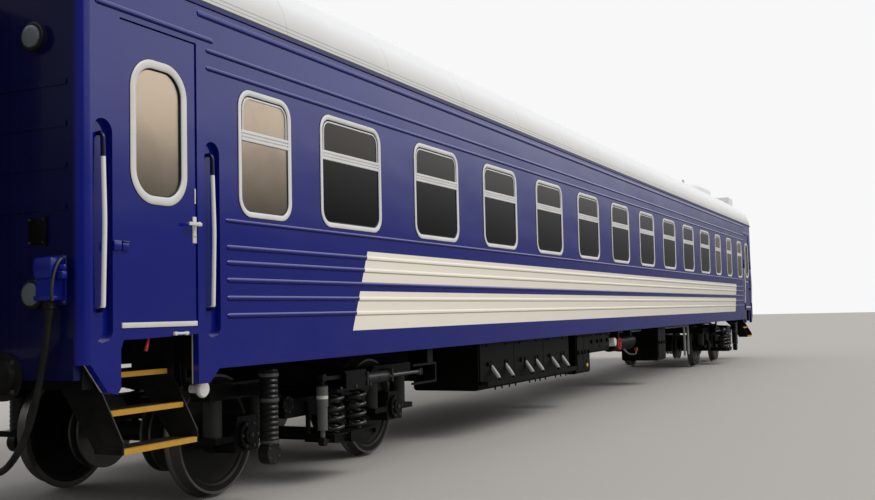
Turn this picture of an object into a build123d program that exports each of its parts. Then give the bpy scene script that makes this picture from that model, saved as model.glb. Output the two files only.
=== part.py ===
from build123d import *
import math
import os

os.makedirs("parts", exist_ok=True)

# Passenger coach on two two-axle bogies, in millimetres.
# +X runs along the coach, +Z is up, z = 0 is the lowest point of the wheel flanges.
# The front end is at -X and the left side is at -Y.

# Overall sizes
body_length = 25500.0
body_width = 3020.0
bogie_base = 18700.0
wheel_base = 2500.0
coupling_reach = 598.0

# Heights
flange_height = 28.0
rail_z = flange_height
sill_z = rail_z + 1050.0
gutter_z = sill_z + 2570.0
crown_z = rail_z + 4420.0
crown_radius = 3200.0
floor_z = rail_z + 1350.0
coupler_z = rail_z + 1060.0
coupler_window = 170.0
coupler_window_rise = 125.0
coupler_pin_depth = 560.0
coupler_pin_radius = 40.0

# Plates and gaps
wall = 60.0
roof_wall = 50.0
floor_depth = 60.0
partition = 30.0
swing_gap = 9.0
clear = 5.0
seat_gap = 0.3
lap = 1.0
rib_proud = 8.0
rib_slope = 40.0
rib_rounding = 0.45

# Entrance, measured from the end of the body
door_start = 330.0
door_width = 760.0
entrance_length = 1405.0
door_sill_z = floor_z + 5.0
door_top_z = rail_z + 3335.0
leaf_thickness = 40.0
leaf_recess = 10.0
apron_thickness = 20.0
apron_bottom_z = rail_z + 1283.0
corner_radius = wall + 10.0
post_foot_z = sill_z + 90.0
skirt_z = rail_z + 955.0
# Lower edge of the entrance panel before its door: distance from the body's end and height above the skirt's line
skirt_edge = [(215.0, 10.0), (300.0, -10.0), (door_start, 30.0)]
# Behind the door the skirt ends, and its slanted edge meets the sill
skirt_end = 1212.0
skirt_foot = 1320.0

# Door hinges
hinge_radius = 12.0
hinge_pin_radius = 6.0
hinge_length = 60.0
hinge_heights = (floor_z + 250.0, floor_z + 1000.0, floor_z + 1750.0)
hinge_offset = 16.0
hinge_bracket = 20.0
hinge_seat_reach = 40.0
door_seat_depth = 4.0
gangway_seat_depth = 6.0

# Entrance door window
door_window_width = 464.0
door_window_height = 864.0
door_window_radius = 170.0
door_window_rise = 8.0
door_pane_inset = 14.0

# Gangway
passage_width = 700.0
passage_top_z = rail_z + 3280.0
gangway_reach = 590.0
gangway_tube = 190.0
gangway_margin = 60.0
gangway_window_half = 190.0
gangway_window_z = (floor_z + 900.0, floor_z + 1600.0)
gangway_face = 60.0

# Windows
window_z = rail_z + 2635.0
window_height = 965.0
wide_window = 1058.0
narrow_window = 700.0
window_radius = 150.0
frame_border = 42.0
frame_lap = 10.0
frame_proud = 9.0
glass_thickness = 12.0
window_pitch = 1750.0
first_wide_window = 3236.0
wide_window_count = 10
vent_bar_z = rail_z + 2765.0
vent_bar_gap = 46.0
vent_bar_height = 26.0

# Wheels and axles
tread_radius = 478.5
flange_radius = tread_radius + flange_height
back_to_back = 1440.0
wheel_width = 130.0
axle_z = flange_radius
wing_z = axle_z + 10.0
axle_radius = 82.5
journal_radius = 65.0
journal_reach = 1130.0
disc_radius = 320.0
disc_offset = 380.0
disc_half_width = 55.0
disc_plate = 22.0
disc_hub_radius = 150.0

# Bogie, with lengths from its middle
frame_y = 1018.0
frame_width = 180.0
frame_top_z = rail_z + 900.0
frame_low_top_z = rail_z + 700.0
frame_depth = 130.0
spring_y = 1290.0
spring_offset = 195.0
spring_coil_radius = 105.0
spring_wire_radius = 18.0
spring_pitch = 84.0
inner_coil_radius = 56.0
inner_wire_radius = 11.0
inner_pitch = 52.0
plank_top_z = rail_z + 385.0
bolster_bottom_z = rail_z + 745.0
bolster_top_z = rail_z + 985.0
bolster_reach = 1420.0
bolster_flange = 18.0
bolster_half_width = 168.0
bolster_pocket = 45.0
outer_gear_y = 1350.0
axle_spring_offset = 290.0
axle_spring_radius = 80.0
frame_overhang = 60.0
frame_length = wheel_base + 2*(axle_spring_offset + axle_spring_radius + frame_overhang)
frame_step = wheel_base/2 - axle_spring_offset - axle_spring_radius - 10
link_radius = 22.0
link_x = 345.0
seat_reach = 370.0
yaw_damper_z = rail_z + 820.0
yaw_eye = 1400.0
yaw_tube_start = 190.0
yaw_tube_end = 750.0
yaw_tube_radius = 55.0
column_radius = 75.0
column_rib = 6.0
column_rib_count = 14
column_bottom_z = rail_z + 430.0
column_top_z = rail_z + 1000.0

# Saloon
ceiling_thickness = 28.0
corridor_wall_y = 520.0
compartment_door = 600.0
compartment_door_height = 1950.0
vestibule_door_height = 2000.0
berth_foot_gap = 80.0
berth_width = 580.0
berth_thickness = 130.0
lower_berth_z = floor_z + 450.0
upper_berth_z = floor_z + 1600.0

# Underframe
sole_bar_width = 70.0
sole_bar_z = sill_z + 10.0
headstock_depth = 90.0
bearer_half = 40.0
bearer_z = sill_z + 30.0
body_bolster_z = sill_z + 5.0
bearer_count = 13
stringer_rows = (-1100.0, -500.0, 500.0, 1100.0)
bolster_half = 260.0
centre_plate_radius = 220.0
centre_sill_inner = 170.0
centre_sill_width = 60.0
carrier_half = 110.0
shank_rise = 75.0

half_length = body_length/2
half_width = body_width/2
coupler_pin_x = -half_length + coupler_pin_depth
headstock_z = sill_z - 60.0
inner_width = half_width - wall
bogie_x = bogie_base/2
entrance_x = half_length - entrance_length
door_axis_y = -inner_width + hinge_offset
gangway_axis_x = -half_length + wall + hinge_offset
trap_thickness = 16.0
trap_bottom_z = floor_z - trap_thickness
trap_ledge = 20.0


def block(x, y, z):
    """A box from (low, high) pairs along X, Y and Z."""
    size = [pair[1] - pair[0] for pair in (x, y, z)]
    centre = [(pair[1] + pair[0])/2 for pair in (x, y, z)]
    return Pos(*centre)*Box(*size)


def side_prism(outline, y):
    """An outline of (x, z) points, extruded between two y values."""
    face = make_face(Polyline([(px, y[0], pz) for px, pz in outline], close=True))
    return extrude(face, amount=y[1] - y[0], dir=(0, 1, 0))


def end_prism(outline, x):
    """An outline of (y, z) points, extruded between two x values."""
    face = make_face(Polyline([(x[0], py, pz) for py, pz in outline], close=True))
    return extrude(face, amount=x[1] - x[0], dir=(1, 0, 0))


def rod(start, end, radius):
    """A round bar between two points."""
    axis = Vector(*end) - Vector(*start)
    return Plane(origin=start, z_dir=axis)*Pos(0, 0, axis.length/2)*Cylinder(radius, axis.length)


def rounded_panel(x, y, z, width, height, radius):
    """A panel with rounded corners facing -Y, centred on x and z, between two y values."""
    plane = Plane(origin=(x, y[1], z), x_dir=(1, 0, 0), z_dir=(0, -1, 0))
    return extrude(plane*RectangleRounded(width, height, radius), amount=y[1] - y[0])


def fused(solids):
    """One shape from pieces that overlap or touch."""
    first, *rest = solids
    return first.fuse(*rest) if rest else first


def to_right(shape):
    return mirror(shape, about=Plane.XZ)


def to_rear(shape):
    return mirror(shape, about=Plane.YZ)


def both_sides(shape):
    return [shape, to_right(shape)]


def both_ends(shapes):
    return [copy for shape in shapes for copy in (shape, to_rear(shape))]


def four_corners(shape):
    return both_ends(both_sides(shape))


def from_front(distance):
    """The x value at a distance from the front end of the body."""
    return distance - half_length


def save(name, shapes):
    solids = [solid for shape in shapes for solid in shape.solids()]
    export_step(Compound(children=solids) if len(solids) > 1 else solids[0], f"parts/{name}.step")


# Window centres from the front end and their widths
windows = [(1916.0, narrow_window)]
windows += [(first_wide_window + window_pitch*i, wide_window) for i in range(wide_window_count)]
windows += [(20550.0, narrow_window), (22050.0, narrow_window), (body_length - 1916.0, narrow_window)]

# Body side: swages as (height above the sill, start and end from the front, height of the rib)
lower_swages = [(height, entrance_length + 10.0, body_length - entrance_length - 10.0, 34.0)
                for height in (369.0, 496.0, 626.0, 752.0, 864.0)]
upper_swages = [(1059.0, entrance_length, body_length - entrance_length, 26.0),
                (2133.0, entrance_length, body_length - entrance_length, 30.0),
                (2260.0, entrance_length, body_length - entrance_length, 30.0),
                (2509.0, entrance_length, body_length - entrance_length, 44.0)]

# Ribs on the end wall: heights above the sill, width, and y values where they end
end_rib_heights = (1035.0, 1290.0, 1545.0, 1805.0)
end_rib_width = 34.0
end_rib_y = (-half_width + 120.0, -700.0)


def swage(height, start, end, thickness):
    """A rounded rib that stands proud of the body side."""
    middle = from_front((start + end)/2)
    z = sill_z + height
    plane = Plane(origin=(middle, -half_width, z), x_dir=(1, 0, 0), z_dir=(0, -1, 0))
    section = RectangleRounded(end - start, thickness, thickness*rib_rounding)
    return extrude(plane*section, amount=rib_proud, taper=rib_slope)


def wall_opening(size):
    """The width or height of the wall's opening behind a frame, which laps over its edge."""
    return size - 2*(frame_border - frame_lap)


def side_wall():
    """The left side between the entrances, with its windows cut and its swages."""
    panel = block((-entrance_x, entrance_x), (-half_width, -inner_width), (sill_z, gutter_z))
    for start, width in windows:
        panel -= rounded_panel(from_front(start), (-half_width - lap, -inner_width + lap), window_z,
                               wall_opening(width), wall_opening(window_height), window_radius - frame_border)
    return panel + [swage(*row) for row in lower_swages + upper_swages]


def window_frame(centre, width):
    """A frame ring that laps over the wall outside and carries the two bars under the vent pane."""
    x = from_front(centre)
    depth = (-half_width - frame_proud, -half_width)
    ring = rounded_panel(x, depth, window_z, width, window_height, window_radius)
    opening = (width - 2*frame_border, window_height - 2*frame_border)
    ring -= rounded_panel(x, (depth[0] - lap, depth[1] + lap), window_z, *opening, window_radius - frame_border)
    half = opening[0]/2 + lap
    for offset in (-vent_bar_gap/2, vent_bar_gap/2):
        z = vent_bar_z + offset
        ring += block((x - half, x + half), depth, (z - vent_bar_height/2, z + vent_bar_height/2))
    return ring


def window_pane(centre, width):
    size = (wall_opening(width) - 2*seat_gap, wall_opening(window_height) - 2*seat_gap)
    depth = (-half_width + clear, -half_width + clear + glass_thickness)
    return rounded_panel(from_front(centre), depth, window_z, *size, window_radius - frame_border)


# Handrail recesses beside each door: centre from the body end
recess_centres = (175.0, 1255.0)
recess_width = 170.0
recess_bottom_z = rail_z + 1270.0
recess_top_z = rail_z + 2660.0
recess_depth = 42.0
rail_bottom_z = rail_z + 1470.0
rail_top_z = rail_z + 2570.0
rail_reach = 42.0
rail_bow = 16.0
rail_bow_radius = 3000.0
rail_bend = 36.0
rail_radius = 15.0
# Ribs of the entrance panel, in the same form as the swages
entrance_ribs = [(2133.0, 1195.0, entrance_length, 30.0), (2260.0, 1195.0, entrance_length, 30.0),
                 (2509.0, 1100.0, entrance_length, 44.0), (2340.0, 110.0, 1285.0, 34.0)]


def entrance_panel():
    """The left side of the front vestibule, notched for the door and with the skirt's outline."""
    door_end = door_start + door_width
    outline = [(corner_radius, gutter_z), (corner_radius, post_foot_z)]
    outline += [(x, skirt_z + rise) for x, rise in skirt_edge]
    outline += [(door_start, door_top_z), (door_end, door_top_z), (door_end, skirt_z), (skirt_end, skirt_z),
                (skirt_foot, sill_z), (entrance_length, sill_z), (entrance_length, gutter_z)]
    panel = side_prism([(from_front(x), z) for x, z in outline], (-half_width, -inner_width))
    for centre in recess_centres:
        height = recess_top_z - recess_bottom_z
        panel -= rounded_panel(from_front(centre), (-half_width - lap, -half_width + recess_depth),
                               (recess_top_z + recess_bottom_z)/2, recess_width, height, recess_width/2 - lap)
    return panel + [swage(*row) for row in entrance_ribs] + door_pins()


def entrance_apron():
    """The plate under the left front door, between the door posts, deeper at its front corner."""
    door_end = door_start + door_width
    outline = [(door_start, floor_z), (door_end, floor_z), (door_end, apron_bottom_z + 18),
               (520, apron_bottom_z), (door_start + 25, apron_bottom_z), (door_start, apron_bottom_z - 60)]
    return side_prism([(from_front(x), z) for x, z in outline], (-half_width, -half_width + apron_thickness))


def roof_section(inset):
    """The roof's outline: a crown arc between two shoulder arcs, tangent to the upright sides."""
    width = half_width - inset
    crown = crown_radius - inset
    crown_centre = crown_z - crown_radius
    rise = gutter_z - crown_centre
    shoulder = (crown**2 - width**2 - rise**2)/(2*(crown - width))
    shoulder_y = width - shoulder
    reach = math.hypot(shoulder_y, rise)
    tangent_y = crown*shoulder_y/reach
    tangent_z = crown_centre + crown*rise/reach
    turn = math.atan2(tangent_z - gutter_z, tangent_y - shoulder_y)/2
    middle = (shoulder_y + shoulder*math.cos(turn), gutter_z + shoulder*math.sin(turn))
    right = ThreePointArc((width, gutter_z), middle, (tangent_y, tangent_z))
    top = ThreePointArc((tangent_y, tangent_z), (0, crown_centre + crown), (-tangent_y, tangent_z))
    left = ThreePointArc((-tangent_y, tangent_z), (-middle[0], middle[1]), (-width, gutter_z))
    base = Line((-width, gutter_z), (width, gutter_z))
    return make_face([right, top, left, base])


def turned_y(section):
    """An outline of (radius, y) points, turned about the Y axis."""
    return revolve(make_face(Polyline([(radius, y, 0) for radius, y in section], close=True)), axis=Axis.Y)


def extruded_section(section, x):
    plane = Plane(origin=(x[0], 0, 0), x_dir=(0, 1, 0), z_dir=(1, 0, 0))
    return extrude(plane*section, amount=x[1] - x[0])


def roof_shell():
    span = (-half_length, half_length)
    shell = extruded_section(roof_section(0), span) - extruded_section(roof_section(roof_wall), span)
    lip = block(span, (-half_width - 14, -half_width + 10), (gutter_z, gutter_z + 26))
    return shell + both_sides(lip)


def end_wall():
    """The front end wall with rounded corner posts, seam ribs and the gangway opening."""
    x = (-half_length, -half_length + wall)
    wall_plate = block(x, (-half_width + corner_radius, half_width - corner_radius), (sill_z, gutter_z))
    post = Pos(-half_length + corner_radius, -half_width + corner_radius, (post_foot_z + gutter_z)/2)
    post *= Cylinder(corner_radius, gutter_z - post_foot_z)
    post_cut = block((-half_length + wall, 0), (-inner_width, 0), (sill_z, gutter_z))
    post_limit = block((-half_length + corner_radius, 0), (-half_width, 0), (sill_z, gutter_z))
    post = post - post_cut - post_limit
    shape = wall_plate + both_sides(post)
    arch = extruded_section(roof_section(roof_wall + seat_gap), x)
    shape += arch
    cut_x = (x[0] - lap, x[1] + lap)
    shape -= block(cut_x, (-passage_width/2, passage_width/2), (floor_z, passage_top_z))
    shape -= block(cut_x, (-coupler_window, coupler_window), (sill_z - lap, coupler_z + coupler_window_rise))
    for height in end_rib_heights:
        z = (sill_z + height, sill_z + height + end_rib_width)
        shape += both_sides(block((-half_length - rib_proud, -half_length), end_rib_y, z))
    return shape + gangway_pins()


def knuckle(x, y, z, leaf_corner):
    """The leaf's half of a hinge: a bored barrel and the web that joins it to the leaf's corner."""
    barrel = Pos(x, y, z)*Cylinder(hinge_radius, hinge_length)
    span = [tuple(sorted((a, b))) for a, b in zip((x, y), leaf_corner)]
    web = block(span[0], span[1], (z - hinge_length/2, z + hinge_length/2))
    return fused([barrel, web]) - Pos(x, y, z)*Cylinder(hinge_pin_radius + seat_gap, hinge_length + 2)


def hinge_pin(x, y, z, seat):
    """The body's half of a hinge: a pin through the barrel and the bracket that holds it."""
    low = z + hinge_length/2 + seat_gap
    pin = rod((x, y, z - hinge_length/2), (x, y, low + hinge_bracket), hinge_pin_radius)
    span = [tuple(sorted((a, b))) for a, b in zip((x, y), seat)]
    x, y = [(start - hinge_pin_radius, end + hinge_pin_radius) for start, end in span]
    return fused([pin, block(x, y, (low, low + hinge_bracket))])


def door_leaf():
    """The front left entrance door, hinged inside its edge by the end wall."""
    start = from_front(door_start + swing_gap)
    end = from_front(door_start + door_width - swing_gap)
    y = (-half_width + leaf_recess, -half_width + leaf_recess + leaf_thickness)
    leaf = block((start, end), y, (door_sill_z, door_top_z - swing_gap))
    leaf -= rounded_panel((start + end)/2, (y[0] - lap, y[1] + lap), window_z + door_window_rise,
                          door_window_width, door_window_height, door_window_radius)
    barrels = [knuckle(start, door_axis_y, z, (start + hinge_radius, y[1])) for z in hinge_heights]
    return fused([leaf] + barrels)


def door_pins():
    x = from_front(door_start + swing_gap)
    seat = (x - hinge_seat_reach, -inner_width + door_seat_depth)
    return [hinge_pin(x, door_axis_y, z, seat) for z in hinge_heights]


def door_pane():
    start = from_front(door_start + swing_gap)
    end = from_front(door_start + door_width - swing_gap)
    y = -half_width + leaf_recess + door_pane_inset
    return rounded_panel((start + end)/2, (y, y + glass_thickness), window_z + door_window_rise,
                         door_window_width - 2*seat_gap, door_window_height - 2*seat_gap, door_window_radius)


def gangway_leaf():
    half = passage_width/2 - swing_gap
    x = (-half_length + leaf_recess, -half_length + leaf_recess + leaf_thickness)
    leaf = block(x, (-half, half), (door_sill_z, passage_top_z - swing_gap))
    leaf -= block((x[0] - lap, x[1] + lap), (-gangway_window_half, gangway_window_half), gangway_window_z)
    barrels = [knuckle(gangway_axis_x, -half, z, (x[1], -half + hinge_radius)) for z in hinge_heights]
    return fused([leaf] + barrels)


def gangway_pins():
    y = -passage_width/2 + swing_gap
    seat = (-half_length + wall + gangway_seat_depth, y - hinge_seat_reach)
    return [hinge_pin(gangway_axis_x, y, z, seat) for z in hinge_heights]


def trap_plate():
    """The hinged plate that closes the step well, with its hinge edge towards the saloon."""
    x = (from_front(door_start + swing_gap), from_front(door_start + door_width - swing_gap))
    y = (-inner_width + swing_gap, -step_well_inner - swing_gap)
    return block(x, y, (trap_bottom_z, floor_z))


# Entrance steps: tread height above the rail, outer y and inner y
step_well_inner = 900.0
step_well_x = (from_front(door_start), from_front(door_start + door_width))
treads = [(595.0, 1505.0, 1275.0), (830.0, 1390.0, 1150.0), (1060.0, 1250.0, 1000.0)]
tread_thickness = 30.0
cheek_thickness = 12.0
step_gap = 12.0
# Outline of a cheek plate as (y, z), from its lowest outer corner round
cheek_top_z = floor_z - floor_depth - seat_gap
cheek_outline = [(-1508.0, skirt_z - 360), (-1270.0, skirt_z - 360), (-step_well_inner - 30, skirt_z + 100),
                 (-step_well_inner - 30, cheek_top_z), (-1300.0, cheek_top_z), (-1300.0, skirt_z + 60),
                 (-1508.0, skirt_z - 310)]


def entrance_step():
    """Three open treads between two slanted cheeks, hung under the door."""
    x = (from_front(door_start + step_gap), from_front(door_start + door_width - step_gap))
    pieces = [end_prism(cheek_outline, (x[0], x[0] + cheek_thickness)),
              end_prism(cheek_outline, (x[1] - cheek_thickness, x[1]))]
    for height, outer, inner in treads:
        top = rail_z + height
        pieces.append(block(x, (-outer, -inner), (top - tread_thickness, top)))
    return fused(pieces)


def handrail(centre):
    """A bowed grab rail in its recess beside the door."""
    x = from_front(centre)
    foot = -half_width + recess_depth
    reach = foot - rail_reach
    middle = (x, reach - rail_bow, (rail_bottom_z + rail_top_z)/2)
    points = [(x, foot, rail_bottom_z), (x, reach, rail_bottom_z), middle, (x, reach, rail_top_z), (x, foot, rail_top_z)]
    path = FilletPolyline(points, radius=[rail_bend, rail_bow_radius, rail_bend])
    return sweep(Plane(origin=path @ 0, z_dir=path % 0)*Circle(rail_radius), path=path)


def underframe():
    """Sole bars, headstocks, cross bearers, body bolsters and the centre sills that hold the couplers."""
    top = floor_z - floor_depth
    inner_y = (-inner_width + lap, inner_width - lap)
    front = -half_length + wall
    sole_bar = block((front, -front), (-inner_width, -inner_width + sole_bar_width), (sole_bar_z, top))
    headstock = block((front, front + headstock_depth), inner_y, (headstock_z, top))
    frame = fused(both_sides(sole_bar) + both_ends([headstock]))
    for i in range(bearer_count):
        x = -entrance_x + 2*entrance_x*i/(bearer_count - 1)
        frame += block((x - bearer_half, x + bearer_half), inner_y, (bearer_z, top))
    for y in stringer_rows:
        frame += block((-bogie_x, bogie_x), (y - bearer_half, y + bearer_half), (bearer_z, top))
    plate_height = body_bolster_z - bolster_top_z - seat_gap
    for end in (-1, 1):
        x = end*bogie_x
        frame += block((x - bolster_half, x + bolster_half), inner_y, (body_bolster_z, top))
        frame += Pos(x, 0, bolster_top_z + seat_gap + plate_height/2)*Cylinder(centre_plate_radius, plate_height)
        span = tuple(sorted((x - end*bolster_half, -end*front)))
        for y in (-centre_sill_inner - centre_sill_width, centre_sill_inner):
            frame += block(span, (y, y + centre_sill_width), (body_bolster_z, top))
    well = block(step_well_x, (-half_width, -step_well_inner), (sill_z, top + lap))
    for cut in four_corners(well):
        frame -= cut
    pin = rod((coupler_pin_x, 0, coupler_z - carrier_half), (coupler_pin_x, 0, top), coupler_pin_radius)
    carrier = block((coupler_pin_x - carrier_half, coupler_pin_x + carrier_half),
                    (-centre_sill_inner - lap, centre_sill_inner + lap), (coupler_z + shank_rise + clear, top))
    frame += both_ends([fused([pin, carrier])])
    window = block((front - lap, front + headstock_depth + lap), (-coupler_window, coupler_window),
                   (coupler_z - coupler_window_rise, coupler_z + coupler_window_rise))
    return frame - window - to_rear(window)


# Loop round the lengthwise damper's eye: how far it reaches past the eye, its length, and its bars
loop_reach = 280.0
loop_length = 530.0
loop_y = (-inner_width + 40.0, -inner_width + 65.0)
loop_upper_z = (yaw_damper_z + 60.0, yaw_damper_z + 82.0)
loop_lower_z = (yaw_damper_z - 122.0, yaw_damper_z - 100.0)
loop_post = 26.0
loop_hanger = (-200.0, -80.0)


def yaw_bracket():
    """The open loop on the sole bar that the lengthwise damper of the bogie points into."""
    far = -bogie_x + yaw_eye + loop_reach
    near = far - loop_length
    bars = [block((near, far), loop_y, loop_upper_z),
            block((near, far), loop_y, loop_lower_z),
            block((far - loop_post, far), loop_y, (loop_lower_z[0], loop_upper_z[1])),
            block((far + loop_hanger[0], far + loop_hanger[1]), loop_y, (loop_upper_z[0], sole_bar_z))]
    return fused(bars)


def floor_plate():
    return block((-entrance_x, entrance_x), (-inner_width, inner_width), (floor_z - floor_depth, floor_z))


def vestibule_floor():
    low_z = floor_z - floor_depth
    plate = block((-half_length + wall, -entrance_x), (-inner_width, inner_width), (low_z, floor_z))
    well = block(step_well_x, (-half_width, -step_well_inner), (low_z - lap, floor_z + lap))
    ledges = []
    for low in (door_start - lap, door_start + door_width - trap_ledge):
        x = (from_front(low), from_front(low + trap_ledge + lap))
        ledges += both_sides(block(x, (-inner_width, -step_well_inner), (low_z, trap_bottom_z - seat_gap)))
    return plate - well - to_right(well) + ledges


def arch_ring(x, outer, bottom, top, radius):
    """A plate with two rounded upper corners, between two x values."""
    plate = block(x, (-outer, outer), (bottom, top))
    return fillet(plate.edges().filter_by(Axis.X).group_by(Axis.Z)[-1], radius)


# Gangway tube: pleats, the share of a pleat that stands out, and how far the rest and the face draw in
gangway_pleats = 6
pleat_share = 0.62
pleat_depth = 24.0
face_depth = 40.0
gangway_corner = 180.0
gangway_drop = 120.0
gangway_rise = 70.0

# Coupler head seen from above: distance behind the coupling line and y
head_outline = [(300, -120), (205, -205), (60, -215), (-30, -200), (-40, -125), (40, -105), (75, -60), (70, 30),
                (30, 75), (-35, 95), (-45, 165), (10, 205), (120, 205), (230, 160), (300, 120)]
head_height = 300.0
head_chamfer = 12.0
# Shank and its collar: distance behind the coupling line and half sizes
shank_start = 260.0
shank_half = 65.0
collar_span = (290.0, 350.0)
collar_half = 95.0
collar_rise = 105.0
eye_radius = 95.0

# Buffer: half section as (radius, distance from the end wall), the last rows from the tip of the plunger
buffer_y = 875.0
buffer_rise = 10.0
buffer_tip = -coupling_reach + 20.0
buffer_case = [(0, 0), (150, 0), (150, -22), (112, -22), (105, -60), (105, -290), (118, -290), (118, -330), (72, -330)]
buffer_head = [(70, 70), (110, 46), (225, 40), (225, 12), (205, 0), (0, 0)]


def coupler():
    """Knuckle coupler head on its shank, which swings about a pin behind the headstock."""
    tip = -half_length - coupling_reach
    shank = block((tip + shank_start, coupler_pin_x - coupler_pin_radius), (-shank_half, shank_half),
                  (coupler_z - shank_rise, coupler_z + shank_rise))
    collar = block((tip + collar_span[0], tip + collar_span[1]), (-collar_half, collar_half),
                   (coupler_z - collar_rise, coupler_z + collar_rise))
    face = make_face(Polyline([(tip + x, y, coupler_z - head_height/2) for x, y in head_outline], close=True))
    head = extrude(face, amount=head_height, dir=(0, 0, 1))
    flat_faces = head.faces().sort_by(Axis.Z)
    head = chamfer(flat_faces[-1].edges() + flat_faces[0].edges(), head_chamfer)
    eye = Pos(coupler_pin_x, 0, coupler_z)*Cylinder(eye_radius, 2*shank_rise)
    bore = Pos(coupler_pin_x, 0, coupler_z)*Cylinder(coupler_pin_radius + seat_gap, 2*shank_rise + 2*clear)
    return fused([shank, collar, head, eye]) - bore


def buffer(y):
    """A buffer turned as one form: base plate, round case with its collar, plunger and flat head."""
    profile = buffer_case + [(radius, buffer_tip + x) for radius, x in buffer_head]
    turned = revolve(make_face(Polyline([(x, radius, 0) for radius, x in profile], close=True)), axis=Axis.X)
    return Pos(-half_length, y, coupler_z + buffer_rise)*turned


def gangway():
    """The rubber gangway arch round the passage, its ribs, and the face frame at its outer end."""
    inner = passage_width/2 + gangway_margin
    outer = inner + gangway_tube
    bottom = floor_z - gangway_drop
    top = passage_top_z + gangway_rise
    pleat = (gangway_reach - gangway_face)/gangway_pleats

    def ring(x, depth):
        return arch_ring(x, outer - depth, bottom, top + gangway_tube - depth, gangway_corner - depth)

    rings = []
    for i in range(gangway_pleats):
        start = -half_length - pleat*(i + 1)
        fold = start + pleat*pleat_share
        rings += [ring((start, fold), 0), ring((fold - lap, start + pleat), pleat_depth)]
    far = -half_length - gangway_reach
    rings.append(ring((far, far + gangway_face + lap), face_depth))
    hole = block((far - lap, -half_length + lap), (-inner, inner), (bottom - lap, top))
    return fused(rings) - hole


def footplate():
    reach = passage_width/2 + gangway_margin
    return block((-half_length - gangway_reach + gangway_face, -half_length), (-reach, reach), footplate_z)


# Fittings on the end wall
footplate_z = (floor_z - 60.0, floor_z - 20.0)
lamp_y = 1150.0
lamp_heights = (1575.0, 3169.0)
lamp_case = (45.0, 85.0)
lamp_lens = (60.0, 70.0)
socket_half = 60.0
socket_rise = 130.0
socket_y = 1310.0
socket_z = rail_z + 1650.0
socket_depth = 110.0
socket_bottom_z = 1560.0
holder_y = -500.0
holder_bottom_z = 900.0
holder_radius = 40.0
holder_depth = 90.0
holder_arm = 30.0
cable_radius = 22.0
bend_share = 0.45
# Route of the hanging jumper cable, from its socket to its holder under the headstock
cable_points = [(-12815, -1310, 1560), (-12815, -1310, 1380), (-12813, -1243, 1110), (-12805, -1165, 850),
                (-12790, -1030, 630), (-12765, -860, 500), (-12727, -690, 505), (-12695, -555, 610),
                (-12685, -500, 760), (-12685, -500, 900)]


def end_lamp(height):
    """A round tail lamp on the end wall."""
    z = rail_z + height
    case = rod((-half_length, -lamp_y, z), (-half_length - lamp_case[0], -lamp_y, z), lamp_case[1])
    lens = rod((-half_length - lamp_case[0] + lap, -lamp_y, z), (-half_length - lamp_lens[0], -lamp_y, z), lamp_lens[1])
    return fused([case, lens])


def jumper_socket():
    """The socket box on the end wall, open below where the cable leaves it."""
    x = (-half_length - socket_depth, -half_length)
    return block(x, (-socket_y - socket_half, -socket_y + socket_half), (socket_bottom_z, socket_z + socket_rise))


def cable_holder():
    """The dummy receptacle under the headstock that takes the cable's free end."""
    x = -half_length + wall + clear
    cup = rod((x, holder_y, holder_bottom_z), (x, holder_y, holder_bottom_z + holder_depth), holder_radius)
    bracket = block((x, x + 2*holder_arm), (holder_y - holder_arm, holder_y + holder_arm),
                    (holder_bottom_z + holder_depth - 2*clear, headstock_z))
    return fused([cup, bracket])


def jumper_cable():
    points = [Vector(*point) for point in cable_points]
    radii = []
    for before, here, after in zip(points, points[1:], points[2:]):
        turn = math.radians((here - before).get_angle(after - here))
        run = min((here - before).length, (after - here).length)
        radii.append(bend_share*run/math.tan(turn/2))
    path = FilletPolyline(points, radius=radii)
    tube = sweep(Plane(origin=path @ 0, z_dir=path % 0)*Circle(cable_radius), path=path)
    section = math.pi*cable_radius**2
    print("cable radii", [round(radius) for radius in radii], "length", round(path.length))
    print("cable volume over section times length", round(tube.volume/(section*path.length), 4))
    return tube


# Boxes hung under the floor, from the coach's middle: start, end, inner y, outer y, bottom above the rail
battery_row = (-6440.0, -3150.0, -520.0, -1350.0, 500.0)
equipment_rows = [(-2920.0, -2250.0, -620.0, -1380.0, 470.0), (-2190.0, -1060.0, -560.0, -1340.0, 740.0),
                  (1980.0, 2620.0, -700.0, -1390.0, 420.0), (-6750.0, -4550.0, 520.0, 1380.0, 480.0),
                  (-4250.0, -2150.0, 560.0, 1380.0, 450.0), (1250.0, 3650.0, 520.0, 1380.0, 500.0)]
box_door_proud = 12.0
box_door_gap = 14.0
box_door_border = 30.0
box_door_low = 60.0
box_door_top_z = sill_z - 20.0
box_corner = 40.0
box_top_z = sill_z + 10.0
battery_door_count = 3
equipment_doors = 2
# Hangers between a box and the bearers: place from the box's ends, half width and how far they draw in
hanger_place = 120.0
hanger_half = 40.0
hanger_inset = 60.0
# Tray of the battery box: height over its bottom, thickness, depth and the lip under its edge
tray_rise = 90.0
tray_thickness = 16.0
tray_depth = 120.0
tray_lip = 40.0
tray_post_places = (-150.0, 60.0)
tray_post = 24.0
# Struts on the battery box: distance of each from the box's start
strut_places = (380.0, 830.0, 1520.0, 1900.0, 2520.0, 2950.0)
strut_radius = 21.0
strut_top = (15.0, 275.0)
strut_foot = (118.0, 18.0)
strut_plate_half = 40.0
strut_plate_proud = 10.0
strut_plate_z = (235.0, 320.0)
# Air tanks, from the coach's middle: start, end, y, centre height above the rail, radius
tank_rows = [(-300.0, 1000.0, -1100.0, 830.0, 150.0), (-750.0, 550.0, 1050.0, 800.0, 180.0),
             (4250.0, 5350.0, 500.0, 830.0, 160.0)]
tank_rounding = 50.0
strap_place = 250.0
strap_half = 30.0
strap_share = 0.8


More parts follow.
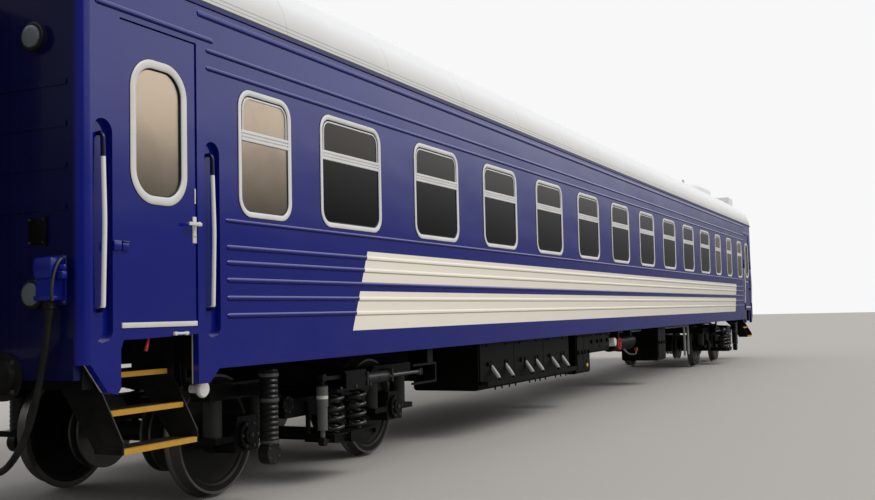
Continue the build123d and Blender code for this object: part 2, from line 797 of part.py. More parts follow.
def box_doors(row, count):
    """Proud door panels on the outer face of an underfloor box."""
    start, end, inner, outer, bottom = row
    side = math.copysign(1.0, outer)
    pitch = (end - start - 2*box_door_border)/count
    y = tuple(sorted((outer - side*lap, outer + side*box_door_proud)))
    z = (rail_z + bottom + box_door_low, box_door_top_z)
    doors = []
    for i in range(count):
        low = start + box_door_border + pitch*i
        doors.append(block((low + box_door_gap/2, low + pitch - box_door_gap/2), y, z))
    return doors


def underfloor_box(row, door_count):
    start, end, inner, outer, bottom = row
    y = tuple(sorted((inner, outer)))
    box = block((start, end), y, (rail_z + bottom, box_top_z))
    box = fillet(box.edges().filter_by(Axis.X).group_by(Axis.Z)[0], box_corner)
    hangers = []
    for x in (start + hanger_place, end - hanger_place):
        hangers.append(block((x - hanger_half, x + hanger_half), (y[0] + hanger_inset, y[1] - hanger_inset),
                             (sill_z, bearer_z)))
    return fused([box] + hangers + box_doors(row, door_count))


def battery_box():
    """The battery box with its three doors, the tray rail on short posts and the slanted door struts."""
    start, end, inner, outer, bottom = battery_row
    face = outer - box_door_proud
    low = rail_z + bottom
    shelf = low + tray_rise
    edge = outer - tray_depth
    pieces = [underfloor_box(battery_row, battery_door_count)]
    pieces.append(block((start, end), (edge, outer + lap), (shelf, shelf + tray_thickness)))
    pieces.append(block((start, end), (edge, edge + tray_post/2), (shelf - tray_lip, shelf + tray_thickness)))
    for place in strut_places:
        x = start + place
        for offset in tray_post_places:
            pieces.append(block((x + offset, x + offset + tray_post), (edge + tray_post/4, edge + 3*tray_post/4),
                                (low, shelf)))
        pieces.append(rod((x, face + strut_top[0], low + strut_top[1]), (x, outer - strut_foot[0], shelf + strut_foot[1]),
                          strut_radius))
        pieces.append(block((x - strut_plate_half, x + strut_plate_half), (face - strut_plate_proud, outer),
                            (low + strut_plate_z[0], low + strut_plate_z[1])))
    return fused(pieces)


def air_tank(row):
    start, end, y, height, radius = row
    z = rail_z + height
    tank = rod((start, y, z), (end, y, z), radius)
    tank = fillet(tank.edges().filter_by(GeomType.CIRCLE), tank_rounding)
    reach = radius*strap_share
    straps = [block((x - strap_half, x + strap_half), (y - reach, y + reach), (z, bearer_z))
              for x in (start + strap_place, end - strap_place)]
    return fused([tank] + straps)


# Ventilators on the roof: start and end from the rear end of the body, two y values and top above the rail
roof_rows = [(1500.0, 950.0, -1230.0, -800.0, 4365.0), (1500.0, 950.0, 800.0, 1230.0, 4365.0),
             (22900.0, 22500.0, -180.0, 180.0, 4490.0), (13000.0, 12600.0, -180.0, 180.0, 4490.0)]
# Air intake hood, from the rear end of the body: where it starts, reaches its height, and opens
hood_start = 5450.0
hood_throat = 4250.0
hood_mouth = 2980.0
mouth_slant = 520.0
hood_half = 1000.0
hood_rise = 28.0
hood_wall = 30.0
hood_edge = 80.0
hood_nose = 90.0
hood_cavity = 450.0
roof_unit_depth = 420.0
roof_unit_edge = 45.0


def roof_unit(row):
    """A ventilator box with rounded upper edges that follows the roof below."""
    start, end, low, high, top = row
    x = (half_length - start, half_length - end)
    box = block(x, (low, high), (crown_z - roof_unit_depth, rail_z + top))
    box = fillet(box.edges().group_by(Axis.Z)[-1], roof_unit_edge)
    return box - extruded_section(roof_section(-seat_gap), (x[0] - lap, x[1] + lap))


def intake_hood():
    """A hood that rises from the roof towards the rear and opens there in a slanted mouth."""
    start, throat, mouth = (half_length - distance for distance in (hood_start, hood_throat, hood_mouth))
    top = crown_z + hood_rise
    low = crown_z - roof_unit_depth
    far = mouth + mouth_slant
    outline = [(start, low), (start, crown_z - hood_nose), (throat, top), (mouth, top), (far, low)]
    shell = side_prism(outline, (-hood_half, hood_half))
    shell = fillet(shell.edges().filter_by(Axis.X).group_by(Axis.Z)[-1], hood_edge)
    hollow = [(mouth - hood_cavity, low), (mouth - hood_cavity, top - hood_wall), (far, top - hood_wall), (far + lap, low)]
    cavity = side_prism(hollow, (-hood_half + hood_wall, hood_half - hood_wall))
    core = extruded_section(roof_section(-seat_gap), (start - lap, far + lap))
    return shell - cavity - core


compartment_centres = [first_wide_window + window_pitch*i for i in range(wide_window_count)]
compartment_walls = [compartment_centres[0] + window_pitch*(i - 0.5) for i in range(wide_window_count + 1)]
ceiling_z = gutter_z - ceiling_thickness


def interior_panels():
    """Compartment walls, corridor wall piers and lintel, vestibule partitions and the ceiling."""
    top = ceiling_z - seat_gap
    door_top = floor_z + compartment_door_height
    outer_y = inner_width - seat_gap
    corridor_y = (corridor_wall_y, corridor_wall_y + partition)
    first = from_front(compartment_walls[0]) - partition/2
    last = from_front(compartment_walls[-1]) + partition/2
    half = (window_pitch - compartment_door)/2
    panels = [block((-entrance_x, entrance_x), (-outer_y, outer_y), (ceiling_z, gutter_z - seat_gap))]
    for x in compartment_walls:
        middle = from_front(x)
        panels.append(block((middle - partition/2, middle + partition/2), (-outer_y, corridor_wall_y - seat_gap),
                            (floor_z, top)))
        panels.append(block((max(middle - half, first), min(middle + half, last)), corridor_y, (floor_z, door_top)))
    panels.append(block((first, last), corridor_y, (door_top + seat_gap, top)))
    for x in (-entrance_x, entrance_x - partition):
        span = (x, x + partition)
        panels += both_sides(block(span, (-outer_y, -passage_width/2), (floor_z, top)))
        panels.append(block(span, (-passage_width/2 + seat_gap, passage_width/2 - seat_gap),
                            (floor_z + vestibule_door_height, top)))
    return panels


def berths():
    """Two lower and two upper berths across each compartment."""
    result = []
    y = (-inner_width + seat_gap, corridor_wall_y - berth_foot_gap)
    reach = window_pitch/2 - partition/2 - seat_gap
    for centre in compartment_centres:
        for top in (lower_berth_z, upper_berth_z):
            for side in (-1, 1):
                ends = [from_front(centre + side*distance) for distance in (reach, reach - berth_width)]
                result.append(block(tuple(sorted(ends)), y, (top - berth_thickness, top)))
    return result


seat_radius = journal_radius + 15.0
# Half section of a wheel as (radius, distance outwards from its inner face)
wheel_section = [(seat_radius, -15), (145, -15), (160, 40), (390, 60), (415, 0), (flange_radius - 8, 0),
                 (flange_radius, 12), (flange_radius - 8, 24), (tread_radius + 2, 36), (tread_radius, 60),
                 (tread_radius - 4, wheel_width), (415, wheel_width), (390, 90), (160, 85),
                 (140, wheel_width + 20), (seat_radius, wheel_width + 20)]
# Half of the axle as (radius, distance outwards from the wheels' inner faces)
axle_section = [(axle_radius, -60), (seat_radius, -15), (seat_radius, wheel_width + 25), (journal_radius, wheel_width + 25)]


def wheelset():
    """An axle with two wheels and two brake discs, centred on the bogie's middle."""
    inner = back_to_back/2
    wheel = turned_y([(radius, inner + y) for radius, y in wheel_section])
    right = [(radius, inner + y) for radius, y in axle_section] + [(journal_radius, journal_reach), (0, journal_reach)]
    left = [(radius, -y) for radius, y in reversed(right)]
    return fused([turned_y(left + right), wheel, to_right(wheel), brake_disc(-disc_offset), brake_disc(disc_offset)])


def brake_disc(y):
    """A vented brake disc: two friction rings and the hub between them."""
    half = disc_half_width
    groove = half - disc_plate
    section = [(axle_radius - lap, -half), (disc_radius, -half), (disc_radius, -groove), (disc_hub_radius, -groove),
               (disc_hub_radius, groove), (disc_radius, groove), (disc_radius, half), (axle_radius - lap, half)]
    return turned_y([(radius, y + offset) for radius, offset in section])


frame_outer_y = -frame_y - frame_width/2
# Side beam: how far it slants between its high and low parts, and its depth in the low part
beam_slant = 220.0
beam_offset = 20.0
beam_low_depth = 160.0
transom_places = (-500.0, 500.0)
transom_half = 80.0
transom_z = (frame_low_top_z - 150.0, frame_low_top_z - 10.0)
# Levelling valve on the beam's outside, and the round cover of the anchor
valve_x = (-frame_step - 160.0, -frame_step - 40.0)
valve_depth = 80.0
valve_z = (frame_top_z - 120.0, frame_top_z - 20.0)
anchor_x = -690.0
anchor_z = frame_low_top_z - 40.0
anchor_depth = 50.0
anchor_radius = 78.0


def side_frame():
    """One side beam of the bogie frame: high over the axle boxes and dropped between them."""
    half = frame_length/2
    low = frame_step - beam_slant
    under = frame_top_z - frame_depth
    low_under = frame_low_top_z - beam_low_depth
    right = [(low + beam_offset, frame_low_top_z), (frame_step + beam_offset, frame_top_z), (half, frame_top_z),
             (half, under), (frame_step, under), (low, low_under)]
    left = [(-x, z) for x, z in reversed(right)]
    return side_prism(right + left, (frame_outer_y, -frame_y + frame_width/2))


def bogie_frame():
    beams = both_sides(side_frame())
    transoms = [block((x - transom_half, x + transom_half), (-frame_y, frame_y), transom_z) for x in transom_places]
    valve = both_sides(block(valve_x, (frame_outer_y - valve_depth, frame_outer_y + lap), valve_z))
    cover = both_sides(rod((anchor_x, frame_outer_y + lap, anchor_z), (anchor_x, frame_outer_y - anchor_depth, anchor_z),
                           anchor_radius))
    return fused(beams + transoms + valve + cover)


# Bolster: how far its ends and its pockets drop, its flat middle, and the margins round a pocket
bolster_drop = 70.0
bolster_flat = 500.0
pocket_start = 560.0
pocket_margin = 24.0
pocket_bottom = 22.0
pocket_top = (26.0, 38.0)
flange_proud = 22.0
spring_seat_half = (330.0, 130.0)


def bolster():
    """The bolster: a web between two flanges, which rests on the springs and carries the centre plate."""
    top = bolster_top_z - bolster_drop
    outline = [(-bolster_reach, bolster_bottom_z), (bolster_reach, bolster_bottom_z), (bolster_reach, top),
               (bolster_flat, bolster_top_z), (-bolster_flat, bolster_top_z), (-bolster_reach, top)]
    beam = end_prism(outline, (-bolster_half_width, bolster_half_width))
    far = -bolster_reach + pocket_margin
    low = bolster_bottom_z + pocket_bottom
    pocket = [(far, low), (-pocket_start, low), (-pocket_start, bolster_top_z - pocket_top[1]), (far, top - pocket_top[0])]
    web = bolster_half_width - bolster_pocket
    for x in ((-bolster_half_width - lap, -web), (web, bolster_half_width + lap)):
        for cut in both_sides(end_prism(pocket, x)):
            beam -= cut
    plate = [(-bolster_reach, top), (-bolster_reach, top - bolster_flange),
             (-bolster_flat, bolster_top_z - bolster_flange), (-bolster_flat, bolster_top_z)]
    flanges = both_sides(end_prism(plate, (-bolster_half_width - flange_proud, bolster_half_width + flange_proud)))
    half_x, half_y = spring_seat_half
    seat = block((-half_x, half_x), (-spring_y - half_y, -spring_y + half_y),
                 (bolster_bottom_z, bolster_bottom_z + bolster_flange))
    return fused([beam] + flanges + both_sides(seat))


# Spring plank: half sizes, and the outlines of its seats and their hollows as (x, depth below the top)
plank_half = (120.0, 140.0)
plank_depth = 90.0
seat_proud = 125.0
seat_outline = [(-seat_reach, 0), (seat_reach, 0), (seat_reach, 72), (170, 96), (-170, 96), (-seat_reach, 72)]
hollow_outline = [(-seat_reach + 20, 16), (-130, 16), (-130, 80), (-170, 80), (-seat_reach + 20, 58)]
hollow_depth = 25.0
link_foot = 20.0


def spring_plank():
    """The fish-bellied cradle under the springs, hung from the frame by four links."""
    half_x, beyond = plank_half
    plank = block((-half_x, half_x), (-spring_y - beyond, spring_y + beyond), (plank_top_z - plank_depth, plank_top_z))
    face = -spring_y - seat_proud
    seat = side_prism([(x, plank_top_z - depth) for x, depth in seat_outline], (face, frame_outer_y))
    hollow = side_prism([(x, plank_top_z - depth) for x, depth in hollow_outline], (face - lap, face + hollow_depth))
    seat -= hollow
    seat -= to_rear(hollow)
    links = []
    y = frame_outer_y - link_radius - seat_gap
    for x in (-link_x, link_x):
        links += both_sides(rod((x, y, plank_top_z - link_foot), (x, y, anchor_z), link_radius))
    return fused([plank] + both_sides(seat) + links)


def coil_spring(radius, wire, pitch, left_hand):
    """A coil spring between the plank and the bolster, its end turns ground flat."""
    low = plank_top_z + seat_gap
    high = bolster_bottom_z - seat_gap
    run_out = wire + 2*lap
    helix = Helix(pitch, high - low + 2*run_out, radius, center=(0, 0, low - run_out), lefthand=left_hand)
    bar = sweep(Plane(origin=helix @ 0, z_dir=helix % 0)*Circle(wire), path=helix, is_frenet=True)
    reach = radius + wire + lap
    return bar & block((-reach, reach), (-reach, reach), (low, high))


def springs():
    """Four nests of an outer coil and an inner coil wound the other way."""
    outer = coil_spring(spring_coil_radius - spring_wire_radius, spring_wire_radius, spring_pitch, False)
    inner = coil_spring(inner_coil_radius - inner_wire_radius, inner_wire_radius, inner_pitch, True)
    places = [(x, y) for x in (-spring_offset, spring_offset) for y in (-spring_y, spring_y)]
    return [Pos(x, y, 0)*coil for x, y in places for coil in (outer, inner)]


# Axle box: its y values, half outline as (distance from the axle along X, height above it), and its stepped cover
box_y = (-frame_y - 120.0, -frame_y + 85.0)
box_half_outline = [(150, -130), (165, -40), (400, -40), (400, wing_z - axle_z), (165, wing_z - axle_z), (120, 150)]
box_cover_steps = ((30.0, 118.0), (44.0, 70.0))


def axle_box(x):
    """An axle box with its two spring wings, bored for the journal."""
    outline = [(x + along, axle_z + up) for along, up in box_half_outline]
    outline += [(x - along, axle_z + up) for along, up in reversed(box_half_outline)]
    box = side_prism(outline, box_y)
    bore = rod((x, -journal_reach - seat_gap, axle_z), (x, 0, axle_z), journal_radius + seat_gap)
    covers = [rod((x, box_y[0], axle_z), (x, box_y[0] - depth, axle_z), radius) for depth, radius in box_cover_steps]
    return fused([box] + covers) - bore


def axle_springs(x):
    result = []
    low = wing_z + seat_gap
    high = frame_top_z - frame_depth - seat_gap
    for offset in (-axle_spring_offset, axle_spring_offset):
        result.append(Pos(x + offset, -frame_y, (low + high)/2)*Cylinder(axle_spring_radius, high - low))
    return result


# Upright damper: its round pieces as (bottom, top, radius), its eyes, and the arm and foot that hold it
damper_x = -460.0
damper_rounds = ((rail_z + 430.0, rail_z + 640.0, 44.0), (rail_z + 630.0, rail_z + 815.0, 50.0),
                 (plank_top_z - 60.0, rail_z + 880.0, 20.0))
damper_eye_heights = (plank_top_z - 55.0, rail_z + 875.0)
damper_eye = (28.0, 34.0)
damper_arm_half = 20.0
damper_arm_z = (rail_z + 850.0, rail_z + 884.0)
damper_foot_z = (plank_top_z - 70.0, plank_top_z - 40.0)


def vertical_damper(x):
    """A damper between the bolster's end and the spring plank."""
    y = -outer_gear_y
    rounds = [rod((x, y, low), (x, y, high), radius) for low, high, radius in damper_rounds]
    half, radius = damper_eye
    eyes = [rod((x, y - half, z), (x, y + half, z), radius) for z in damper_eye_heights]
    arm_y = (y - damper_arm_half, y + damper_arm_half)
    arm = block((x, -bolster_half_width + bolster_pocket), arm_y, damper_arm_z)
    foot = block((x, -seat_reach), arm_y, damper_foot_z)
    return fused(rounds + [arm, foot] + eyes)


# Lengthwise damper: the ears on its tube, its stem, nut and eye, and the lug on the bolster's end
ear_offsets = (yaw_tube_start + 20.0, yaw_tube_end - 60.0)
ear_size = (26.0, 70.0)
yaw_stem_radius = 20.0
yaw_nut = (40.0, 34.0)
yaw_eye_size = (38.0, 50.0)
lug_half = 30.0
lug_z = (yaw_damper_z - 40.0, yaw_damper_z + 60.0)


def yaw_damper():
    """The lengthwise damper from the bolster's end towards its bracket on the body."""
    y = -outer_gear_y
    z = yaw_damper_z
    tube = rod((yaw_tube_start, y, z), (yaw_tube_end, y, z), yaw_tube_radius)
    thick, half = ear_size
    ears = [block((x, x + thick), (y - half, y + half), (z - yaw_tube_radius, z + half)) for x in ear_offsets]
    stem = rod((yaw_tube_end - 10*lap, y, z), (yaw_eye - 10*lap, y, z), yaw_stem_radius)
    nut = rod((yaw_tube_end, y, z), (yaw_tube_end + yaw_nut[0], y, z), yaw_nut[1])
    eye = Pos(yaw_eye, y, z)*Rot(90, 0, 0)*Cylinder(*yaw_eye_size)
    lug = block((bolster_half_width - bolster_pocket, yaw_tube_start + 2*lug_half), (y - lug_half, y + lug_half), lug_z)
    return fused([tube, stem, nut, eye, lug] + ears)


# Ribbed column: the shares of a rib where its crest starts and ends, the rings as (bottom, height, how far they
# stand proud), the round cover under the boot and the arm to the frame
crest_share = (0.35, 0.65)
column_rings = ((column_bottom_z - 6.0, 16.0, 4.0), ((column_bottom_z + column_top_z)/2 + 30.0, 24.0, 5.0),
                (column_top_z - 60.0, 24.0, 6.0))
column_cover_z = column_bottom_z - 84.0
column_cover = (45.0, 92.0)
column_arm_half = 60.0
column_arm_z = (frame_top_z - 110.0, frame_top_z - 20.0)


def ribbed_column(x):
    """The telescopic gear in its ribbed boot before each outer axle box, with the round cover under it."""
    y = -outer_gear_y
    rib = (column_top_z - column_bottom_z)/column_rib_count
    profile = [(0, column_bottom_z)]
    for i in range(column_rib_count):
        z = column_bottom_z + rib*i
        profile += [(column_radius - column_rib, z)] + [(column_radius, z + rib*share) for share in crest_share]
    profile += [(column_radius - column_rib, column_top_z), (0, column_top_z)]
    boot = Pos(x, y, 0)*revolve(make_face(Polyline([(r, 0, z) for r, z in profile], close=True)), axis=Axis.Z)
    rings = [rod((x, y, z), (x, y, z + height), column_radius + proud) for z, height, proud in column_rings]
    half, radius = column_cover
    cover = rod((x, y - half, column_cover_z), (x, y + half, column_cover_z), radius)
    arm = block((x - column_arm_half, x + column_arm_half), (y, frame_outer_y), column_arm_z)
    return fused([boot, cover, arm] + rings)


# Brake callipers: where they start, their end before the axle, arms beside a disc and the bridge between the arms
calliper_start = 580.0
calliper_gap = 20.0
calliper_arm = (75.0, 12.0)
calliper_arm_z = (axle_z + 60.0, axle_z + 130.0)
bridge_length = 90.0
bridge_z = (axle_z + 30.0, axle_z + 160.0)


def brake_units():
    """Brake callipers that reach from the transoms to both sides of each axle disc."""
    result = []
    reach, half = calliper_arm
    for axle in (-1, 1):
        near = axle*calliper_start
        far = axle*(wheel_base/2 - axle_radius - calliper_gap)
        arm_x = tuple(sorted((near, far)))
        bridge_x = tuple(sorted((near, near + axle*bridge_length)))
        for y in (-disc_offset, disc_offset):
            pieces = [block(bridge_x, (y - reach - half, y + reach + half), bridge_z)]
            for middle in (y - reach, y + reach):
                pieces.append(block(arm_x, (middle - half, middle + half), calliper_arm_z))
            result.append(fused(pieces))
    return result


def save_structure():
    wall_left = side_wall()
    entrance = entrance_panel()
    end = end_wall()
    save("side_wall_left", [wall_left])
    save("side_wall_right", [to_right(wall_left)])
    save("entrance_panels", four_corners(entrance) + four_corners(entrance_apron()))
    save("end_wall_front", [end])
    save("end_wall_rear", [to_rear(end)])
    save("roof", [roof_shell()])
    save("underframe", [underframe()])
    save("yaw_brackets", four_corners(yaw_bracket()))
    save("floor", [floor_plate()])
    save("vestibule_floors", both_ends([vestibule_floor()]))
    frames = [shape for row in windows for shape in both_sides(window_frame(*row))]
    panes = [shape for row in windows for shape in both_sides(window_pane(*row))]
    save("window_frames", frames)
    save("window_glass", panes)


def save_doors():
    leaf = door_leaf()
    pane = door_pane()
    plate = trap_plate()
    for name, place in (("front_left", lambda s: s), ("front_right", to_right),
                        ("rear_left", to_rear), ("rear_right", lambda s: to_rear(to_right(s)))):
        save(f"door_{name}", [place(leaf)])
        save(f"door_glass_{name}", [place(pane)])
        save(f"trap_plate_{name}", [place(plate)])
    save("gangway_door_front", [gangway_leaf()])
    save("gangway_door_rear", [to_rear(gangway_leaf())])


def save_ends():
    save("entrance_steps", four_corners(entrance_step()))
    rails = [shape for centre in recess_centres for shape in four_corners(handrail(centre))]
    save("door_handrails", rails)
    save("coupler_front", [coupler()])
    save("coupler_rear", [to_rear(coupler())])
    save("buffers", both_ends([buffer(-buffer_y), buffer(buffer_y)]))
    save("gangways", both_ends([gangway()]))
    save("gangway_footplates", both_ends([footplate()]))
    save("end_lamps", both_ends([copy for height in lamp_heights for copy in both_sides(end_lamp(height))]))
    save("jumper_sockets", both_ends([jumper_socket()]) + [cable_holder()])
    save("jumper_cable", [jumper_cable()])


def save_bogies():
    gear = [shape for x in (-wheel_base/2, wheel_base/2) for shape in both_sides(axle_box(x))]
    axle_coils = [shape for x in (-wheel_base/2, wheel_base/2) for c in axle_springs(x) for shape in both_sides(c)]
    dampers = both_sides(vertical_damper(damper_x)) + both_sides(yaw_damper())
    dampers += both_sides(ribbed_column(-wheel_base/2))
    coils = springs() + axle_coils
    parts = (("bogie_frame", [bogie_frame()]), ("bogie_bolster", [bolster(), spring_plank()]),
             ("axle_boxes", gear), ("bogie_dampers", dampers), ("brake_units", brake_units()))
    for end, x in (("front", -bogie_x), ("rear", bogie_x)):
        save(f"bogie_springs_{end}", [Pos(x, 0, 0)*coil for coil in coils])
        for name, shapes in parts:
            placed = [Pos(x, 0, 0)*(shape if end == "front" else to_rear(shape)) for shape in shapes]
            save(f"{name}_{end}", placed)
    wheels = wheelset()
    axles = [end*bogie_x + axle*wheel_base/2 for end in (-1, 1) for axle in (-1, 1)]
    for number, x in enumerate(axles, start=1):
        save(f"wheelset_{number}", [Pos(x, 0, axle_z)*wheels])


def save_equipment():
    save("battery_box", [battery_box()])
    save("equipment_boxes", [underfloor_box(row, equipment_doors) for row in equipment_rows])
    save("air_tanks", [air_tank(row) for row in tank_rows])
    save("roof_units", [roof_unit(row) for row in roof_rows] + [intake_hood()])
    save("interior_panels", interior_panels())
    save("berths", berths())


save_structure()
save_doors()
save_ends()
save_equipment()
save_bogies()
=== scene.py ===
import math
import bmesh
import bpy
import numpy as np
from mathutils import Matrix


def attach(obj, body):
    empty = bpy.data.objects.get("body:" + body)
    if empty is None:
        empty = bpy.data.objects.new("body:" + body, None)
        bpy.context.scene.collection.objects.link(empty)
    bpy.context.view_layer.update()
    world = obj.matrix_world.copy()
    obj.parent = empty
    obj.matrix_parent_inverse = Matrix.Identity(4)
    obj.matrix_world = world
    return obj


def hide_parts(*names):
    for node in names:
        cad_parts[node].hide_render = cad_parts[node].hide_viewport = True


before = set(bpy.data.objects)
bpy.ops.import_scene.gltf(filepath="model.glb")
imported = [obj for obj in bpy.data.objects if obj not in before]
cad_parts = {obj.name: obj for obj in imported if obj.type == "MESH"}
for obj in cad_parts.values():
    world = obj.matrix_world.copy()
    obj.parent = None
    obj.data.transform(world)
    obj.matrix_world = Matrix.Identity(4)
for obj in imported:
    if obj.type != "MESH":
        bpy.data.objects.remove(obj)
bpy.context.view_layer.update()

# Passenger coach. X runs along it with the front end at -X, Z is up, the photographed side is at -Y, metres.
halfLength = 12.75
sideSkin = 1.51      # outer face of the body side
leafSkin = 1.50      # outer face of an entrance door
bogieX = 9.35
axleReach = 1.25
axleZ = 0.5065
wideWindows = [3.236 + 1.75*i - halfLength for i in range(10)]    # middles of the wide windows
# Ends and corners, with the axes that the front left one is mirrored on
coachEnds = {"front": (), "rear": (0,)}
coachCorners = {"front_left": (), "front_right": (1,), "rear_left": (0,), "rear_right": (0, 1)}

# The view of the photograph: left of the front end, at eye height
photoView = {
    "place": (-17.4494, -6.1044, 1.4339),
    "right": (0.430475, -0.902308, -0.02303),
    "up": (-0.044719, -0.046805, 0.997903),
    "back": (-0.901494, -0.428543, -0.060499),
    "lens": 42.75,
}


def makeCamera(view):
    camera = bpy.data.objects.new("photoCamera", bpy.data.cameras.new("photoCamera"))
    camera.data.lens = view["lens"]
    camera.data.sensor_width = 36
    camera.data.clip_end = 500
    turn = Matrix((view["right"], view["up"], view["back"])).transposed().to_4x4()
    camera.matrix_world = Matrix.Translation(view["place"]) @ turn
    bpy.context.scene.collection.objects.link(camera)
    bpy.context.scene.camera = camera


makeCamera(photoView)
print("camera ready")

# The hanging cable between the end wall's socket and its holder under the headstock
jumperCable = {
    "route": [(-12.815, -1.31, 1.56), (-12.815, -1.31, 1.38), (-12.813, -1.243, 1.11),
              (-12.805, -1.165, 0.85),
              (-12.79, -1.03, 0.63), (-12.765, -0.86, 0.5), (-12.727, -0.69, 0.505), (-12.695, -0.555, 0.61),
              (-12.685, -0.5, 0.76), (-12.685, -0.5, 0.9)],
    "radius": 0.022,
    "length": 1.83,
}


def makeCable(cable):
    curve = bpy.data.curves.new("jumperCable", "CURVE")
    curve.dimensions = "3D"
    spline = curve.splines.new("NURBS")
    spline.points.add(len(cable["route"]) - 1)
    for point, place in zip(spline.points, cable["route"]):
        point.co = (*place, 1.0)
        point.radius = cable["radius"]
    spline.order_u = 3
    spline.use_endpoint_u = True
    curve.resolution_u = 16
    curve.bevel_depth = 1.0    # times the radius that the points hold
    curve.bevel_resolution = 5
    curve.use_fill_caps = True
    piece = bpy.data.objects.new("jumperCableTube", curve)
    bpy.context.scene.collection.objects.link(piece)
    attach(piece, "coach_body")
    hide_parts("jumper_cable")
    return piece


cable = makeCable(jumperCable)
print("cable ready")


# Node helpers: a value that is a socket is linked, any other is set, and the node's outputs come back
def addNode(tree, kind, values, **options):
    node = tree.nodes.new("ShaderNode" + kind)
    for key, value in options.items():
        setattr(node, key, value)
    for key, value in values.items():
        if isinstance(value, bpy.types.NodeSocket):
            tree.links.new(value, node.inputs[key])
        else:
            node.inputs[key].default_value = value
    return node.outputs


def useGroup(tree, group, values):
    return addNode(tree, "Group", values, node_tree=group)


def calc(tree, operation, first, second=0.0, clamp=False):
    return addNode(tree, "Math", {0: first, 1: second}, operation=operation, use_clamp=clamp)[0]


def add(tree, first, second, clamp=False):
    return calc(tree, "ADD", first, second, clamp)


def subtract(tree, first, second):
    return calc(tree, "SUBTRACT", first, second)


def multiply(tree, first, second, clamp=False):
    return calc(tree, "MULTIPLY", first, second, clamp)


def absolute(tree, value):
    return calc(tree, "ABSOLUTE", value)


def remap(tree, value, span, first, second, **options):
    return addNode(tree, "MapRange", {0: value, 1: span[0], 2: span[1], 3: first, 4: second}, **options)[0]


def noise(tree, place, scale, detail, roughness=0.5):
    values = {"Vector": place, "Scale": scale, "Detail": detail, "Roughness": roughness}
    return addNode(tree, "TexNoise", values)[0]


def waves(tree, place, scale, distortion, axis):
    values = {"Vector": place, "Scale": scale, "Distortion": distortion}
    return addNode(tree, "TexWave", values, bands_direction=axis)[1]


def mixColour(tree, mask, first, second):
    return addNode(tree, "Mix", {0: mask, 6: first, 7: second}, data_type="RGBA")[2]


def mixValue(tree, mask, first, second):
    return addNode(tree, "Mix", {0: mask, 2: first, 3: second}, data_type="FLOAT")[0]


def objectPlace(tree):
    place = addNode(tree, "TexCoord", {})["Object"]
    return place, addNode(tree, "SeparateXYZ", {0: place})


def srgb(red, green, blue):
    channel = np.array([red, green, blue])/255
    linear = np.where(channel <= 0.04045, channel/12.92, ((channel + 0.055)/1.055)**2.4)
    return (*linear.tolist(), 1.0)


def startGroup(name, takes, gives):
    tree = bpy.data.node_groups.new(name, "ShaderNodeTree")
    for label, value in takes.items():
        kind = "Color" if isinstance(value, tuple) else "Float"
        socket = tree.interface.new_socket(label, in_out="INPUT", socket_type="NodeSocket" + kind)
        socket.default_value = value
    for label, kind in gives.items():
        tree.interface.new_socket(label, in_out="OUTPUT", socket_type="NodeSocket" + kind)
    return tree, tree.nodes.new("NodeGroupInput").outputs, tree.nodes.new("NodeGroupOutput").inputs


# Mask that is 1 where a value lies between two limits, with soft edges
def bandMaskGroup():
    tree, takes, gives = startGroup("bandMask", {"Value": 0.0, "Low": 0.0, "High": 1.0, "Softness": 0.01},
                                    {"Mask": "Float"})
    rise = calc(tree, "DIVIDE", subtract(tree, takes["Value"], takes["Low"]), takes["Softness"])
    fall = calc(tree, "DIVIDE", subtract(tree, takes["High"], takes["Value"]), takes["Softness"])
    rise = add(tree, rise, 0.5, clamp=True)
    fall = add(tree, fall, 0.5, clamp=True)
    tree.links.new(multiply(tree, rise, fall), gives["Mask"])
    return tree


# Fine dust that is thickest low down and lies in clouds
def dustFilmGroup():
    tree, takes, gives = startGroup("dustFilm", {
        "Clean": (0.1, 0.1, 0.1, 1), "Dust": (0.3, 0.27, 0.23, 1), "Amount": 0.4, "Full Height": 0.2,
        "Clean Height": 1.2, "Scale": 3.0, "Clean Roughness": 0.3, "Dust Roughness": 0.8},
        {"Color": "Color", "Roughness": "Float"})
    place, axes = objectPlace(tree)
    height = remap(tree, axes["Z"], (takes["Full Height"], takes["Clean Height"]), 1.0, 0.08)
    clouds = noise(tree, place, takes["Scale"], 6.0, 0.62)
    clouds = remap(tree, clouds, (0.36, 0.68), 0.15, 1.0)
    mask = multiply(tree, multiply(tree, height, clouds), takes["Amount"], clamp=True)
    tree.links.new(mixColour(tree, mask, takes["Clean"], takes["Dust"]), gives["Color"])
    rough = mixValue(tree, mask, takes["Clean Roughness"], takes["Dust Roughness"])
    tree.links.new(rough, gives["Roughness"])
    return tree


# Slow waves of thin sheet between its stiffeners, with the fine skin of sprayed paint on top
def sheetPaintGroup():
    tree, takes, gives = startGroup("sheetPaint", {
        "Wave Scale": 1.3, "Wave": 1.0, "Skin Scale": 240.0, "Skin": 0.03}, {"Height": "Float"})
    place, axes = objectPlace(tree)
    wide = addNode(tree, "Mapping", {"Vector": place, "Scale": (0.8, 1.0, 1.7)})[0]
    wave = noise(tree, wide, takes["Wave Scale"], 1.5, 0.4)
    skin = noise(tree, place, takes["Skin Scale"], 1.0)
    height = add(tree, multiply(tree, wave, takes["Wave"]), multiply(tree, skin, takes["Skin"]))
    tree.links.new(height, gives["Height"])
    return tree


# Sand-cast or moulded skin: lumps with fine pits
def castSkinGroup():
    tree, takes, gives = startGroup("castSkin", {"Scale": 60.0, "Pits": 0.5}, {"Height": "Float"})
    place, axes = objectPlace(tree)
    lumps = noise(tree, place, takes["Scale"], 5.0, 0.6)
    fine = multiply(tree, takes["Scale"], 3.5)
    pits = addNode(tree, "TexVoronoi", {"Vector": place, "Scale": fine})["Distance"]
    tree.links.new(add(tree, lumps, multiply(tree, pits, takes["Pits"])), gives["Height"])
    return tree


